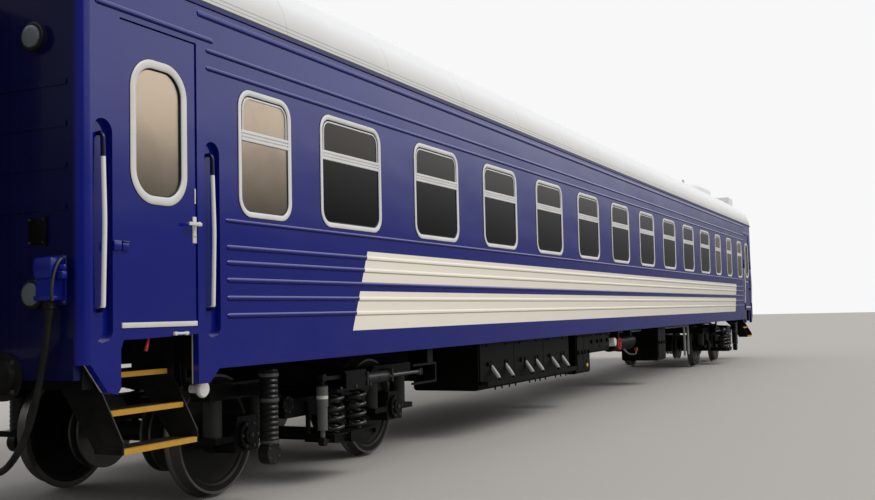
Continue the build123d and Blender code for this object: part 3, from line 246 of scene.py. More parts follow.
# Rubbed and chipped patches where bare metal shows
def rubbedGroup():
    tree, takes, gives = startGroup("rubbedPatches", {"Scale": 14.0, "Amount": 0.3}, {"Mask": "Float"})
    place, axes = objectPlace(tree)
    patch = noise(tree, place, takes["Scale"], 8.0, 0.7)
    limit = subtract(tree, 0.78, multiply(tree, takes["Amount"], 0.4))
    edge = multiply(tree, subtract(tree, patch, limit), 18.0, clamp=True)
    tree.links.new(edge, gives["Mask"])
    return tree


# Distance from the nearest axle's middle line, for turned rings on the wheels
def axleRadiusGroup():
    tree, takes, gives = startGroup("axleRadius", {"Bogie": bogieX, "Reach": axleReach, "Height": axleZ},
                                    {"Radius": "Float"})
    place, axes = objectPlace(tree)
    along = subtract(tree, absolute(tree, axes["X"]), takes["Bogie"])
    along = subtract(tree, absolute(tree, along), takes["Reach"])
    up = subtract(tree, axes["Z"], takes["Height"])
    squares = add(tree, multiply(tree, along, along), multiply(tree, up, up))
    tree.links.new(calc(tree, "SQRT", squares), gives["Radius"])
    return tree


bandMask = bandMaskGroup()
dustFilm = dustFilmGroup()
sheetPaint = sheetPaintGroup()
castSkin = castSkinGroup()
rubbedPatches = rubbedGroup()
axleRadius = axleRadiusGroup()
finishes = {}


def startMaterial(name, constants):
    material = bpy.data.materials.new(name)
    material.use_nodes = True
    tree = material.node_tree
    shader = tree.nodes["Principled BSDF"]
    for key, value in constants.items():
        shader.inputs[key].default_value = value
    finishes[name] = material
    return tree, shader


def setInput(tree, shader, name, value):
    tree.links.new(value, shader.inputs[name])


def setBump(tree, shader, height, distance):
    bump = addNode(tree, "Bump", {"Height": height, "Distance": distance, "Strength": 1.0})
    setInput(tree, shader, "Normal", bump[0])


def setDust(tree, shader, clean, look):
    film = useGroup(tree, dustFilm, {
        "Clean": clean, "Dust": look["dust"], "Amount": look["amount"], "Full Height": look["fullAt"],
        "Clean Height": look["cleanAt"], "Scale": look["cloud"], "Clean Roughness": look["gloss"],
        "Dust Roughness": look.get("dustGloss", 0.8)})
    setInput(tree, shader, "Base Color", film["Color"])
    setInput(tree, shader, "Roughness", film["Roughness"])


def maskBand(tree, value, low, high, softness):
    return useGroup(tree, bandMask, {"Value": value, "Low": low, "High": high, "Softness": softness})["Mask"]


# Blue coach paint: two cream stripes along the lower side, and the pale lining on the wall's inner face.
# The ribs' upper slopes carry a painted highlight of the sky, and their lower slopes a painted shade, which
# reaches onto the cream stripes.
bodyLook = {
    "blue": srgb(8, 22, 124),
    "shade": srgb(6, 17, 110),
    "cream": srgb(252, 245, 229),
    "lining": srgb(196, 190, 176),
    "stripes": ((1.298, 1.643), (1.725, 2.003)),
    "startX": -9.543,
    "endX": 9.93,
    "slant": 0.4057,
    "slantFrom": 1.298,
    "innerY": 1.460,
    # Painted shade: the end wall's blue, darker than the side's
    "endPaintedShade": srgb(7, 11, 60),
    "endPaintedShadeDark": srgb(5, 8, 46),
    "leafX": (11.666, 12.4135),
    "leafTop": 3.366,
    "seal": srgb(12, 12, 20),
    "shine": 0.75,
    "coat": 0.2,
    "ribSkin": 1.5108,
    # Painted highlight for the ribs' upper slopes and painted shade for their lower slopes
    "ribPaintedHighlight": srgb(140, 140, 186),
    "ribPaintedShade": srgb(6, 7, 34),
    "dust": srgb(112, 104, 100),
    "amount": 0.05,
    "fullAt": 0.95,
    "cleanAt": 1.7,
    "cloud": 2.2,
    "gloss": 0.13,
    "dustGloss": 0.5,
    "coatLook": (1.8, 0.05),           # its index and roughness
    "cornerY": (1.435, 1.470),
    # Slopes of the ribs that take the painted highlight and the painted shade, how much of each, and of the
    # shade on the stripes
    "upperSlope": (0.35, 0.95),
    "lowerSlope": (-0.95, -0.35),
    "slopeEdge": 0.2,
    "paintedHighlightShare": 0.45,
    "paintedShadeShare": 0.9,
    "stripePaintedShadeShare": 0.55,
    "sheet": {"Wave Scale": 1.1, "Wave": 1.0, "Skin Scale": 260.0, "Skin": 0.004},
    "sheetDepth": 0.010,
}


def bluePaint(name, look, striped=False, lined=False, cornered=False, edged=False):
    coatIndex, coatRough = look["coatLook"]
    tree, shader = startMaterial(name, {
        "Specular IOR Level": look["shine"], "IOR": 1.45, "Coat Weight": look["coat"], "Coat IOR": coatIndex,
        "Coat Roughness": coatRough})
    place, axes = objectPlace(tree)
    tone = noise(tree, place, 0.7, 3.0)
    colour = mixColour(tree, tone, look["blue"], look["shade"])
    # Painted highlight on the ribs' upper slopes and painted shade on their lower slopes
    slope = addNode(tree, "SeparateXYZ", {0: addNode(tree, "NewGeometry", {})["Normal"]})["Z"]
    onRib = calc(tree, "GREATER_THAN", absolute(tree, axes["Y"]), look["ribSkin"])
    upper = multiply(tree, maskBand(tree, slope, *look["upperSlope"], look["slopeEdge"]), onRib)
    under = multiply(tree, maskBand(tree, slope, *look["lowerSlope"], look["slopeEdge"]), onRib)
    colour = mixColour(tree, multiply(tree, upper, look["paintedHighlightShare"]), colour, look["ribPaintedHighlight"])
    colour = mixColour(tree, multiply(tree, under, look["paintedShadeShare"]), colour, look["ribPaintedShade"])
    if striped:
        along = subtract(tree, axes["Z"], look["slantFrom"])
        along = subtract(tree, axes["X"], multiply(tree, along, look["slant"]))
        ends = maskBand(tree, along, look["startX"], look["endX"], 0.004)
        bands = [maskBand(tree, axes["Z"], *heights, 0.003) for heights in look["stripes"]]
        stripe = multiply(tree, add(tree, *bands), ends)
        # Painted shade under the ribs on the cream stripes, mixed towards the seal colour
        cream = mixColour(tree, multiply(tree, under, look["stripePaintedShadeShare"]), look["cream"], look["seal"])
        colour = mixColour(tree, stripe, colour, cream)
    # Painted shade: the end wall takes the darker blue, and its rounded corner turns back to the side's blue
    if cornered:
        corner = remap(tree, absolute(tree, axes["Y"]), look["cornerY"], 0.0, 1.0)
        colour = mixColour(tree, corner, mixColour(tree, tone, look["endPaintedShade"], look["endPaintedShadeDark"]), colour)
    if edged:
        along = maskBand(tree, absolute(tree, axes["X"]), *look["leafX"], 0.001)
        within = multiply(tree, along, maskBand(tree, axes["Z"], 0.0, look["leafTop"], 0.001))
        colour = mixColour(tree, within, look["seal"], colour)
    if lined:
        inside = calc(tree, "LESS_THAN", absolute(tree, axes["Y"]), look["innerY"])
        colour = mixColour(tree, inside, colour, look["lining"])
    setDust(tree, shader, colour, look)
    setBump(tree, shader, useGroup(tree, sheetPaint, look["sheet"])["Height"], look["sheetDepth"])


bluePaint("sidePaint", bodyLook, striped=True, lined=True)
bluePaint("entrancePaint", bodyLook, lined=True)
bluePaint("leafPaint", bodyLook, edged=True)
# The end wall and the gangway doors take the blue that is darkened as painted shade
bluePaint("endPaint", {**bodyLook, "gloss": 0.2, "ribSkin": 5.0, "shine": 0.4}, cornered=True)
bluePaint("socketPaint", {**bodyLook, "blue": srgb(14, 26, 116), "gloss": 0.22, "amount": 0.2, "shine": 0.45})

# Roof: white enamel, a little dustier towards the gutter and greyer there as painted shade, with a blue lip,
# a dark line of painted shadow in the gutter's gap and fainter dark lines at its edge
roofLook = {
    "white": srgb(238, 239, 240),
    # Painted shade towards the gutter, between these heights
    "gutterPaintedShade": srgb(212, 211, 208),
    "gutterShadeZ": (3.78, 4.00),
    "dust": srgb(150, 144, 134),
    "amount": 0.12,
    "fullAt": 3.6,
    "cleanAt": 4.2,
    "cloud": 1.6,
    "gloss": 0.34,
    "dustGloss": 0.7,
    "sheetLength": 1.75,
    "seam": (-0.01, 0.006),
    "seamDust": 0.35,
    "seamHeight": 0.15,
    "lip": srgb(20, 28, 104),
    "lipZ": (3.0, 3.672),
    "lipY": 1.495,
    # Painted shadow in the gutter's gap above the lip, and fainter dark lines higher up
    "line": srgb(14, 14, 20),
    "gutterShadowZ": (3.0, 3.694),
    "edgeLines": ((3.716, 3.724), (3.748, 3.757)),
    "edgeShare": 0.45,
    "sheet": {"Wave Scale": 0.9, "Wave": 0.8, "Skin Scale": 200.0, "Skin": 0.006},
    "sheetDepth": 0.008,
}


def roofPaint(look):
    tree, shader = startMaterial("roofPaint", {"Specular IOR Level": 0.4})
    place, axes = objectPlace(tree)
    # Painted shade: greyer towards the gutter
    gutterPaintedShade = remap(tree, axes["Z"], look["gutterShadeZ"], 1.0, 0.0)
    colour = mixColour(tree, gutterPaintedShade, look["white"], look["gutterPaintedShade"])
    joint = calc(tree, "PINGPONG", axes["X"], look["sheetLength"]/2)
    seam = maskBand(tree, joint, *look["seam"], 0.006)
    colour = mixColour(tree, multiply(tree, seam, look["seamDust"]), colour, look["dust"])
    outer = calc(tree, "GREATER_THAN", absolute(tree, axes["Y"]), look["lipY"])
    # Painted shadow: a dark line in the gutter's gap just above the lip
    line = multiply(tree, maskBand(tree, axes["Z"], *look["gutterShadowZ"], 0.004), outer)
    colour = mixColour(tree, line, colour, look["line"])
    for span in look["edgeLines"]:
        edge = multiply(tree, maskBand(tree, axes["Z"], *span, 0.004), look["edgeShare"])
        colour = mixColour(tree, edge, colour, look["line"])
    lip = multiply(tree, maskBand(tree, axes["Z"], *look["lipZ"], 0.002), outer)
    colour = mixColour(tree, lip, colour, look["lip"])
    setDust(tree, shader, colour, look)
    height = useGroup(tree, sheetPaint, look["sheet"])["Height"]
    setBump(tree, shader, add(tree, height, multiply(tree, seam, look["seamHeight"])), look["sheetDepth"])


roofPaint(roofLook)

# Plain painted, cast and moulded finishes. Columns: clean colour, dust, how much dust, the heights where it
# is full and where it ends, the scale of its clouds, gloss, the skin's scale and depth, and the specular
# level.
finishColumns = ("clean", "dust", "amount", "fullAt", "cleanAt", "cloud", "gloss", "skin", "depth", "shine")
plainFinishes = {
    "underframePaint": ((9, 10, 11), (52, 48, 43), 0.18, 0.2, 1.4, 4.0, 0.42, 55.0, 0.0012, 0.25),
    "bogiePaint": ((10, 11, 11), (54, 49, 43), 0.20, 0.1, 1.1, 5.0, 0.26, 70.0, 0.0010, 0.25),
    "springPaint": ((46, 47, 45), (70, 65, 58), 0.16, 0.1, 1.0, 6.0, 0.2, 120.0, 0.0006, 0.45),
    "boxPaint": ((8, 10, 7), (46, 44, 36), 0.16, 0.3, 1.2, 3.0, 0.36, 180.0, 0.0005, 0.15),
    "tankPaint": ((14, 15, 16), (60, 56, 50), 0.22, 0.4, 1.2, 4.0, 0.3, 160.0, 0.0005, 0.25),
    "stepPaint": ((13, 13, 14), (74, 68, 60), 0.28, 0.3, 1.3, 7.0, 0.45, 90.0, 0.0010, 0.25),
    "couplerCast": ((34, 30, 27), (84, 70, 57), 0.4, 0.6, 1.6, 9.0, 0.5, 45.0, 0.0020, 0.45),
    "bufferPaint": ((20, 20, 21), (84, 78, 70), 0.3, 0.6, 1.5, 6.0, 0.4, 60.0, 0.0008, 0.45),
    "gangwayRubber": ((26, 26, 27), (84, 80, 74), 0.3, 1.2, 3.8, 5.0, 0.6, 220.0, 0.0006, 0.45),
    "cableRubber": ((20, 20, 21), (80, 76, 70), 0.3, 0.4, 1.5, 12.0, 0.45, 320.0, 0.0004, 0.45),
    "gasketRubber": ((22, 22, 23), (70, 68, 64), 0.1, 2.0, 3.2, 8.0, 0.5, 300.0, 0.0002, 0.45),
    "floorSheet": ((110, 106, 100), (140, 132, 120), 0.4, 1.3, 1.5, 6.0, 0.55, 150.0, 0.0004, 0.45),
    "interiorPanel": ((196, 186, 166), (150, 140, 124), 0.2, 1.3, 2.4, 2.0, 0.4, 260.0, 0.0003, 0.45),
    "frameWhite": ((240, 239, 237), (140, 134, 126), 0.12, 2.1, 3.0, 5.0, 0.3, 400.0, 0.0001, 0.45),
    "trimWhite": ((232, 230, 226), (140, 134, 126), 0.1, 1.2, 2.4, 9.0, 0.32, 300.0, 0.0002, 0.45),
    "nosingYellow": ((214, 158, 40), (120, 104, 74), 0.35, 0.4, 1.4, 16.0, 0.5, 260.0, 0.0008, 0.45),
    "signalRed": ((178, 30, 26), (110, 84, 74), 0.25, 0.6, 1.4, 12.0, 0.3, 300.0, 0.0002, 0.45),
    "pipeGrey": ((150, 152, 150), (110, 102, 92), 0.35, 0.5, 1.2, 8.0, 0.38, 200.0, 0.0003, 0.45),
    "strutGrey": ((178, 178, 172), (110, 104, 94), 0.3, 0.4, 1.2, 14.0, 0.35, 300.0, 0.0002, 0.45),
    "lampAmber": ((236, 196, 84), (150, 130, 90), 0.1, 0.4, 1.2, 14.0, 0.2, 300.0, 0.0001, 0.45),
    "boltSteel": ((60, 60, 61), (92, 84, 76), 0.3, 0.2, 1.3, 20.0, 0.35, 300.0, 0.0002, 0.45),
    "trapSteel": ((150, 151, 152), (120, 114, 104), 0.3, 1.3, 2.2, 10.0, 0.35, 200.0, 0.0003, 0.45),
}
plainTone = {"cloudShare": 0.6, "detail": 4.0, "dark": 0.72, "pits": 0.3}


def plainFinish(name, look):
    tree, shader = startMaterial(name, {"Specular IOR Level": look["shine"]})
    place, axes = objectPlace(tree)
    tone = noise(tree, place, look["cloud"]*plainTone["cloudShare"], plainTone["detail"])
    clean = srgb(*look["clean"])
    dark = tuple(plainTone["dark"]*channel for channel in clean[:3]) + (1.0,)
    setDust(tree, shader, mixColour(tree, tone, dark, clean), {**look, "dust": srgb(*look["dust"])})
    skin = useGroup(tree, castSkin, {"Scale": look["skin"], "Pits": plainTone["pits"]})["Height"]
    setBump(tree, shader, skin, look["depth"])


for finishName, row in plainFinishes.items():
    plainFinish(finishName, dict(zip(finishColumns, row)))

# Sun-coated window glass with painted reflection: the narrow panes and the doors' are painted brighter, more
# towards the top, and the vent panes a little; cloudy painted shade lies over all of them
glassLook = {
    "metal": 0.5,
    "dark": srgb(16, 14, 11),
    # Painted reflection: the vent panes' lighter colour, and the brighter narrow and door panes, low and high
    "vent": srgb(82, 75, 64),
    "bright": srgb(248, 228, 203),
    "paintedReflectionLow": srgb(222, 204, 180),
    "ventZ": (2.83, 4.0),
    "paintedReflectionBands": ((-13.0, -10.3), (7.45, 13.0)),
    "paintedReflectionRise": (2.25, 2.75),
    "cloudLight": (0.78, 1.0),
    "smearRough": (0.01, 0.06),
}


def coachGlass(look):
    tree, shader = startMaterial("coachGlass", {
        "Metallic": look["metal"], "Transmission Weight": 1.0, "IOR": 1.5, "Specular IOR Level": 0.5})
    place, axes = objectPlace(tree)
    # The vent panes are painted lighter as reflection
    dark = mixColour(tree, maskBand(tree, axes["Z"], *look["ventZ"], 0.01), look["dark"], look["vent"])
    # Painted reflection on the narrow panes and the doors', brighter towards the top
    rise = remap(tree, axes["Z"], look["paintedReflectionRise"], 0.0, 1.0)
    bright = mixColour(tree, rise, look["paintedReflectionLow"], look["bright"])
    bands = [maskBand(tree, axes["X"], *span, 0.01) for span in look["paintedReflectionBands"]]
    colour = mixColour(tree, add(tree, *bands), dark, bright)
    # Cloudy painted shade over all panes
    shadow = remap(tree, noise(tree, place, 1.7, 3.0), (0.35, 0.65), *look["cloudLight"])
    colour = addNode(tree, "VectorMath", {0: colour, "Scale": shadow}, operation="SCALE")[0]
    setInput(tree, shader, "Base Color", colour)
    rough = remap(tree, noise(tree, place, 9.0, 5.0), (0.45, 0.8), *look["smearRough"])
    setInput(tree, shader, "Roughness", rough)


coachGlass(glassLook)

# Grab rails: a white sleeve between bare dark ends
railLook = {
    "sleeve": (1.513, 2.448),
    "white": srgb(228, 226, 222),
    "worn": srgb(150, 146, 140),
    "wornShare": 0.3,
    "bare": srgb(16, 19, 52),
}


def handrailPaint(look):
    tree, shader = startMaterial("handrailPaint", {"Specular IOR Level": 0.5})
    place, axes = objectPlace(tree)
    sleeve = maskBand(tree, axes["Z"], *look["sleeve"], 0.002)
    worn = useGroup(tree, rubbedPatches, {"Scale": 30.0, "Amount": 0.12})["Mask"]
    white = mixColour(tree, multiply(tree, worn, look["wornShare"]), look["white"], look["worn"])
    setInput(tree, shader, "Base Color", mixColour(tree, sleeve, look["bare"], white))
    setInput(tree, shader, "Roughness", mixValue(tree, sleeve, 0.28, 0.36))
    setInput(tree, shader, "Metallic", mixValue(tree, sleeve, 0.2, 0.0))
    setBump(tree, shader, sleeve, 0.0015)


handrailPaint(railLook)

# Dampers by their place on the bogie: silver upright tubes with a white band, ribbed rubber boots with bright
# clamps, and lengthwise tubes a little greyer than black, with bright stems
damperLook = {
    "black": srgb(17, 18, 18),
    "silver": srgb(104, 108, 106),
    "chrome": srgb(132, 134, 134),
    "white": srgb(218, 216, 210),
    "dust": srgb(66, 60, 53),
    "amount": 0.3,
    "fullAt": 0.1,
    "cleanAt": 1.1,
    "cloud": 7.0,
    "gloss": 0.26,
    "edge": 0.002,
    "outerY": 1.29,
    "uprightX": (9.748, 9.872),
    "tube": (0.40, 0.83),
    "whiteBand": (0.724, 0.752),
    "bootX": (10.51, 10.69),
    "clamps": ((0.44, 0.470), (0.768, 0.796), (0.966, 0.992)),
    "stemX": (7.97, 8.56),
    "stemZ": (0.82, 0.876),
    "greyX": (8.60, 9.16),
    "greyShare": 0.12,
    "tubeMetal": 0.35,
    "metal": 0.85,
}


def damperPaint(look):
    tree, shader = startMaterial("damperPaint", {"Specular IOR Level": 0.35})
    place, axes = objectPlace(tree)
    along = absolute(tree, axes["X"])
    outer = calc(tree, "GREATER_THAN", absolute(tree, axes["Y"]), look["outerY"])

    def band(value, name):
        return maskBand(tree, value, *look[name], look["edge"])

    upright = band(along, "uprightX")
    tube = multiply(tree, multiply(tree, band(axes["Z"], "tube"), upright), outer)
    white = multiply(tree, band(axes["Z"], "whiteBand"), upright)
    low, middle, high = [maskBand(tree, axes["Z"], *span, look["edge"]) for span in look["clamps"]]
    clamp = multiply(tree, add(tree, add(tree, low, middle), high), band(along, "bootX"))
    stem = multiply(tree, band(along, "stemX"), band(axes["Z"], "stemZ"))
    grey = multiply(tree, band(along, "greyX"), look["greyShare"])
    colour = look["black"]
    masks = (tube, "silver"), (white, "white"), (clamp, "chrome"), (stem, "chrome"), (grey, "silver")
    for mask, tint in masks:
        colour = mixColour(tree, mask, colour, look[tint])
    setDust(tree, shader, colour, look)
    shine = add(tree, clamp, add(tree, stem, multiply(tree, tube, look["tubeMetal"])), clamp=True)
    setInput(tree, shader, "Metallic", multiply(tree, shine, look["metal"]))
    setBump(tree, shader, useGroup(tree, castSkin, {"Scale": 120.0, "Pits": 0.2})["Height"], 0.0005)


damperPaint(damperLook)

# Wheels: bright turned tread and rim ring, dark painted web, ground brake discs
wheelLook = {
    "tread": srgb(170, 168, 164),
    "groove": srgb(126, 122, 118),
    "web": srgb(14, 15, 13),
    "dust": srgb(62, 55, 46),
    "amount": 0.24,
    "fullAt": 0.0,
    "cleanAt": 1.2,
    "cloud": 8.0,
    "gloss": 0.3,
    "rim": (0.455, 0.60),
    "ring": (0.398, 0.410),
    "disc": (0.15, 0.325),
    "discY": (0.32, 0.44),
    "lines": 900.0,
    "metal": 0.9,
}


def wheelSteel(look):
    tree, shader = startMaterial("wheelSteel", {"Specular IOR Level": 0.3})
    place, axes = objectPlace(tree)
    radius = useGroup(tree, axleRadius, {"Bogie": bogieX, "Reach": axleReach, "Height": axleZ})["Radius"]
    side = absolute(tree, axes["Y"])
    rim = maskBand(tree, radius, *look["rim"], 0.003)
    ring = maskBand(tree, radius, *look["ring"], 0.002)
    disc = maskBand(tree, radius, *look["disc"], 0.003)
    disc = multiply(tree, disc, maskBand(tree, side, *look["discY"], 0.002))
    bright = add(tree, rim, add(tree, ring, disc), clamp=True)
    turned = addNode(tree, "CombineXYZ", {"X": multiply(tree, radius, look["lines"]), "Y": side})[0]
    lines = noise(tree, turned, 1.0, 2.0)
    steel = mixColour(tree, lines, look["tread"], look["groove"])
    setDust(tree, shader, mixColour(tree, bright, look["web"], steel), look)
    setInput(tree, shader, "Metallic", multiply(tree, bright, look["metal"]))
    setBump(tree, shader, multiply(tree, lines, bright), 0.0004)


wheelSteel(wheelLook)

# Tail lamps: a pale ribbed lens in a dark case
lampLook = {
    "lens": srgb(100, 108, 112),
    "rib": srgb(78, 85, 90),
    "case": srgb(18, 20, 44),
    "lensFrom": 12.7945,
}


def lampGlass(look):
    tree, shader = startMaterial("lampGlass", {
        "Specular IOR Level": 0.7, "Coat Weight": 0.4, "Coat Roughness": 0.05})
    place, axes = objectPlace(tree)
    lens = calc(tree, "GREATER_THAN", absolute(tree, axes["X"]), look["lensFrom"])
    ribs = waves(tree, place, 40.0, 0.0, "Y")
    tint = mixColour(tree, ribs, look["lens"], look["rib"])
    setInput(tree, shader, "Base Color", mixColour(tree, lens, look["case"], tint))
    setInput(tree, shader, "Roughness", mixValue(tree, lens, 0.35, 0.12))
    setBump(tree, shader, multiply(tree, ribs, lens), 0.002)


lampGlass(lampLook)

# Berth covers: tight synthetic leather with a fine woven grain and soft creases
coverLook = {"cover": srgb(58, 64, 108), "worn": srgb(80, 86, 126), "weave": 900.0/6.283, "weaveShare": 0.06,
             "rough": (0.5, 0.68)}


def berthCover(look):
    tree, shader = startMaterial("berthCover", {"Specular IOR Level": 0.35, "Sheen Weight": 0.25,
                                                "Sheen Roughness": 0.5})
    place, axes = objectPlace(tree)
    rub = noise(tree, place, 5.0, 5.0)
    setInput(tree, shader, "Base Color", mixColour(tree, rub, look["cover"], look["worn"]))
    setInput(tree, shader, "Roughness", remap(tree, rub, (0.3, 0.7), *look["rough"]))
    across, along = [waves(tree, place, look["weave"], 0.3, axis) for axis in "XY"]
    weave = multiply(tree, add(tree, across, along), look["weaveShare"])
    setBump(tree, shader, add(tree, weave, noise(tree, place, 16.0, 3.0)), 0.004)


berthCover(coverLook)
print("finishes ready:", len(finishes))


def named(stem, endings):
    return [stem + "_" + ending for ending in endings]


# Which finish each CAD node takes
nodeFinish = {
    "sidePaint": ["side_wall_left", "side_wall_right"],
    "entrancePaint": ["entrance_panels"],
    "endPaint": named("end_wall", coachEnds) + named("gangway_door", coachEnds),
    "leafPaint": named("door", coachCorners),
    "roofPaint": ["roof", "roof_units"],
    "underframePaint": ["underframe", "yaw_brackets"],
    "floorSheet": ["floor", "vestibule_floors"],
    "coachGlass": ["window_glass"] + named("door_glass", coachCorners),
    "trapSteel": named("trap_plate", coachCorners),
    "stepPaint": ["entrance_steps", "gangway_footplates"],
    "handrailPaint": ["door_handrails"],
    "couplerCast": named("coupler", coachEnds),
    "bufferPaint": ["buffers"],
    "gangwayRubber": ["gangways"],
    "lampGlass": ["end_lamps"],
    "socketPaint": ["jumper_sockets"],
    "boxPaint": ["battery_box", "equipment_boxes"],
    "tankPaint": ["air_tanks"],
    "interiorPanel": ["interior_panels"],
    "bogiePaint": [name for stem in ("bogie_frame", "bogie_bolster", "axle_boxes", "brake_units")
                   for name in named(stem, coachEnds)],
    "springPaint": named("bogie_springs", coachEnds),
    "damperPaint": named("bogie_dampers", coachEnds),
    "wheelSteel": named("wheelset", "1234"),
}
for finishName, nodeNames in nodeFinish.items():
    for nodeName in nodeNames:
        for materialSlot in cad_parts[nodeName].material_slots:
            materialSlot.material = finishes[finishName]
cable.data.materials.append(finishes["cableRubber"])
print("nodes finished:", sum(len(nodeNames) for nodeNames in nodeFinish.values()))


# Surfaces. A part is its points and a list of face tables.
# Grid of rows by columns: each face joins four neighbours, rows or columns close on themselves where asked.
def gridPart(points, closeRows=False, closeColumns=False, caps=False):
    rows, columns = points.shape[:2]
    index = np.arange(rows*columns).reshape(rows, columns)
    across = np.roll(index, -1, 0) if closeRows else index[1:]
    base = index if closeRows else index[:-1]
    if closeColumns:
        faces = np.stack([base, np.roll(base, -1, 1), np.roll(across, -1, 1), across], -1)
    else:
        faces = np.stack([base[:, :-1], base[:, 1:], across[:, 1:], across[:, :-1]], -1)
    tables = [faces.reshape(-1, 4)]
    if caps:
        tables += [index[:1, ::-1], index[-1:]]
    return points.reshape(-1, 3), tables


# Rounded rectangle: each corner's centre plus the radius times the cosine and sine of a quarter turn
def roundedLoop(halfWide, halfTall, radius, steps=6):
    angle = np.linspace(0, math.pi/2, steps + 1)[None, :] + np.arange(4)[:, None]*math.pi/2
    signX = np.array([1, -1, -1, 1])[:, None]
    signY = np.array([1, 1, -1, -1])[:, None]
    x = signX*(halfWide - radius) + radius*np.cos(angle)
    y = signY*(halfTall - radius) + radius*np.sin(angle)
    return np.stack([x, y], -1).reshape(-1, 2)


# Upside-down U: up one side, round two corners by the radius times cosine and sine, and down the other to a
# low line
def archLoop(halfWide, top, low, radius, steps=6):
    angle = np.linspace(0, math.pi/2, steps + 1)
    right = np.stack([halfWide - radius + radius*np.cos(angle), top - radius + radius*np.sin(angle)], -1)
    left = right[::-1]*np.array([-1, 1])
    return np.concatenate([[[halfWide, low]], right, left, [[-halfWide, low]]])


# A profile of (inset, height) carried round a loop on a side face: x and z are the loop's, y is skin plus
# height
def facePart(centre, loops, heights, side, skin, closed=True):
    points = np.empty(loops.shape[:2] + (3,))
    points[..., 0] = centre[0] + loops[..., 0]
    points[..., 1] = side*(skin + np.asarray(heights)[:, None])
    points[..., 2] = centre[1] + loops[..., 1]
    return gridPart(points, True, closed)


# The same round a rounded rectangle, whose sides and radius shrink by each point's inset
def ringPart(centre, size, radius, profile, side, skin, steps=6):
    loops = np.stack([roundedLoop(size[0]/2 - inset, size[1]/2 - inset, radius - inset, steps)
                      for inset, height in profile])
    return facePart(centre, loops, [height for inset, height in profile], side, skin)


# A profile of (distance, radius) turned round an axis: the centre, plus the distance along the axis, plus
# the radius times the cosine of the turn to the side and its sine upwards
def turnedPart(profile, centre, axis, steps=24, closed=False):
    profile = np.array(profile, float)
    axis = np.array(axis, float)/np.linalg.norm(axis)
    side = np.cross(axis, (0.0, 0.0, 1.0) if abs(axis[2]) < 0.9 else (0.0, 1.0, 0.0))
    side /= np.linalg.norm(side)
    up = np.cross(axis, side)
    angle = np.linspace(0, 2*math.pi, steps, endpoint=False)[:, None]
    ring = np.cos(angle)*side + np.sin(angle)*up
    points = np.array(centre) + profile[:, :1, None]*axis + profile[:, 1:, None]*ring[None]
    return gridPart(points, closed, True)


# A circle carried along points, square to the line between its neighbours: the point, plus the radius times
# the cosine of the turn to one side and its sine to the other
def tubePart(path, radius, steps=12):
    path = np.array(path, float)
    line = np.gradient(path, axis=0)
    line /= np.linalg.norm(line, axis=1)[:, None]
    flat = np.eye(3)[int(np.argmin(np.ptp(path, axis=0)))]
    side = np.cross(line, flat)
    side /= np.linalg.norm(side, axis=1)[:, None]
    up = np.cross(line, side)
    angle = np.linspace(0, 2*math.pi, steps, endpoint=False)[None, :, None]
    radius = np.broadcast_to(radius, (len(path),))[:, None, None]
    points = path[:, None] + radius*(np.cos(angle)*side[:, None] + np.sin(angle)*up[:, None])
    return gridPart(points, False, True, caps=True)


# Corner cutting: each run gives its quarter and three-quarter points, the ends stay
def softened(path, rounds=2):
    path = np.array(path, float)
    for turn in range(rounds):
        quarter = 0.75*path[:-1] + 0.25*path[1:]
        threeQuarter = 0.25*path[:-1] + 0.75*path[1:]
        middle = np.stack([quarter, threeQuarter], 1).reshape(-1, 3)
        path = np.concatenate([path[:1], middle, path[-1:]])
    return path


# A rounded bar between two corners: a rounded rectangle carried along one axis and drawn in by the bevel at
# both ends
def barPart(low, high, bevel, along=0, steps=2):
    low, high = np.array(low, float), np.array(high, float)
    across = [axis for axis in range(3) if axis != along]
    half, middle = (high - low)/2, (high + low)/2
    stations = [(low[along], 1.0), (low[along] + 0.3*bevel, 0.3), (low[along] + bevel, 0.0),
                (high[along] - bevel, 0.0), (high[along] - 0.3*bevel, 0.3), (high[along], 1.0)]
    points = np.empty((len(stations), 4*(steps + 1), 3))
    for row, (place, draw) in enumerate(stations):
        inset = 0.6*bevel*draw
        loop = roundedLoop(half[across[0]] - inset, half[across[1]] - inset, bevel*0.8 - inset*0.5, steps)
        points[row, :, along] = place
        points[row, :, across[0]] = middle[across[0]] + loop[:, 0]
        points[row, :, across[1]] = middle[across[1]] + loop[:, 1]
    return gridPart(points, False, True, caps=True)


# A closed profile of (y, z) places carried straight along x between two places
def extrudedPart(profile, start, end):
    points = np.empty((2, len(profile), 3))
    points[..., 0] = np.array([start, end])[:, None]
    points[..., 1:] = np.array(profile, float)
    return gridPart(points, False, True, caps=True)


# Copies of a part, each moved by one row of places
def repeated(part, places):
    points, tables = part
    places = np.asarray(places, float)
    shift = np.arange(len(places))[:, None, None]*len(points)
    copies = (points[None] + places[:, None]).reshape(-1, 3)
    return copies, [(table[None] + shift).reshape(-1, table.shape[1]) for table in tables]


def flipped(parts, axes):
    sign = np.array([-1.0 if axis in axes else 1.0 for axis in range(3)])
    return [(points*sign, tables) for points, tables in parts]


def bothSides(parts):
    return parts + flipped(parts, (1,))


def bothEnds(parts):
    return parts + flipped(parts, (0,))


def fourCorners(parts):
    return bothEnds(bothSides(parts))


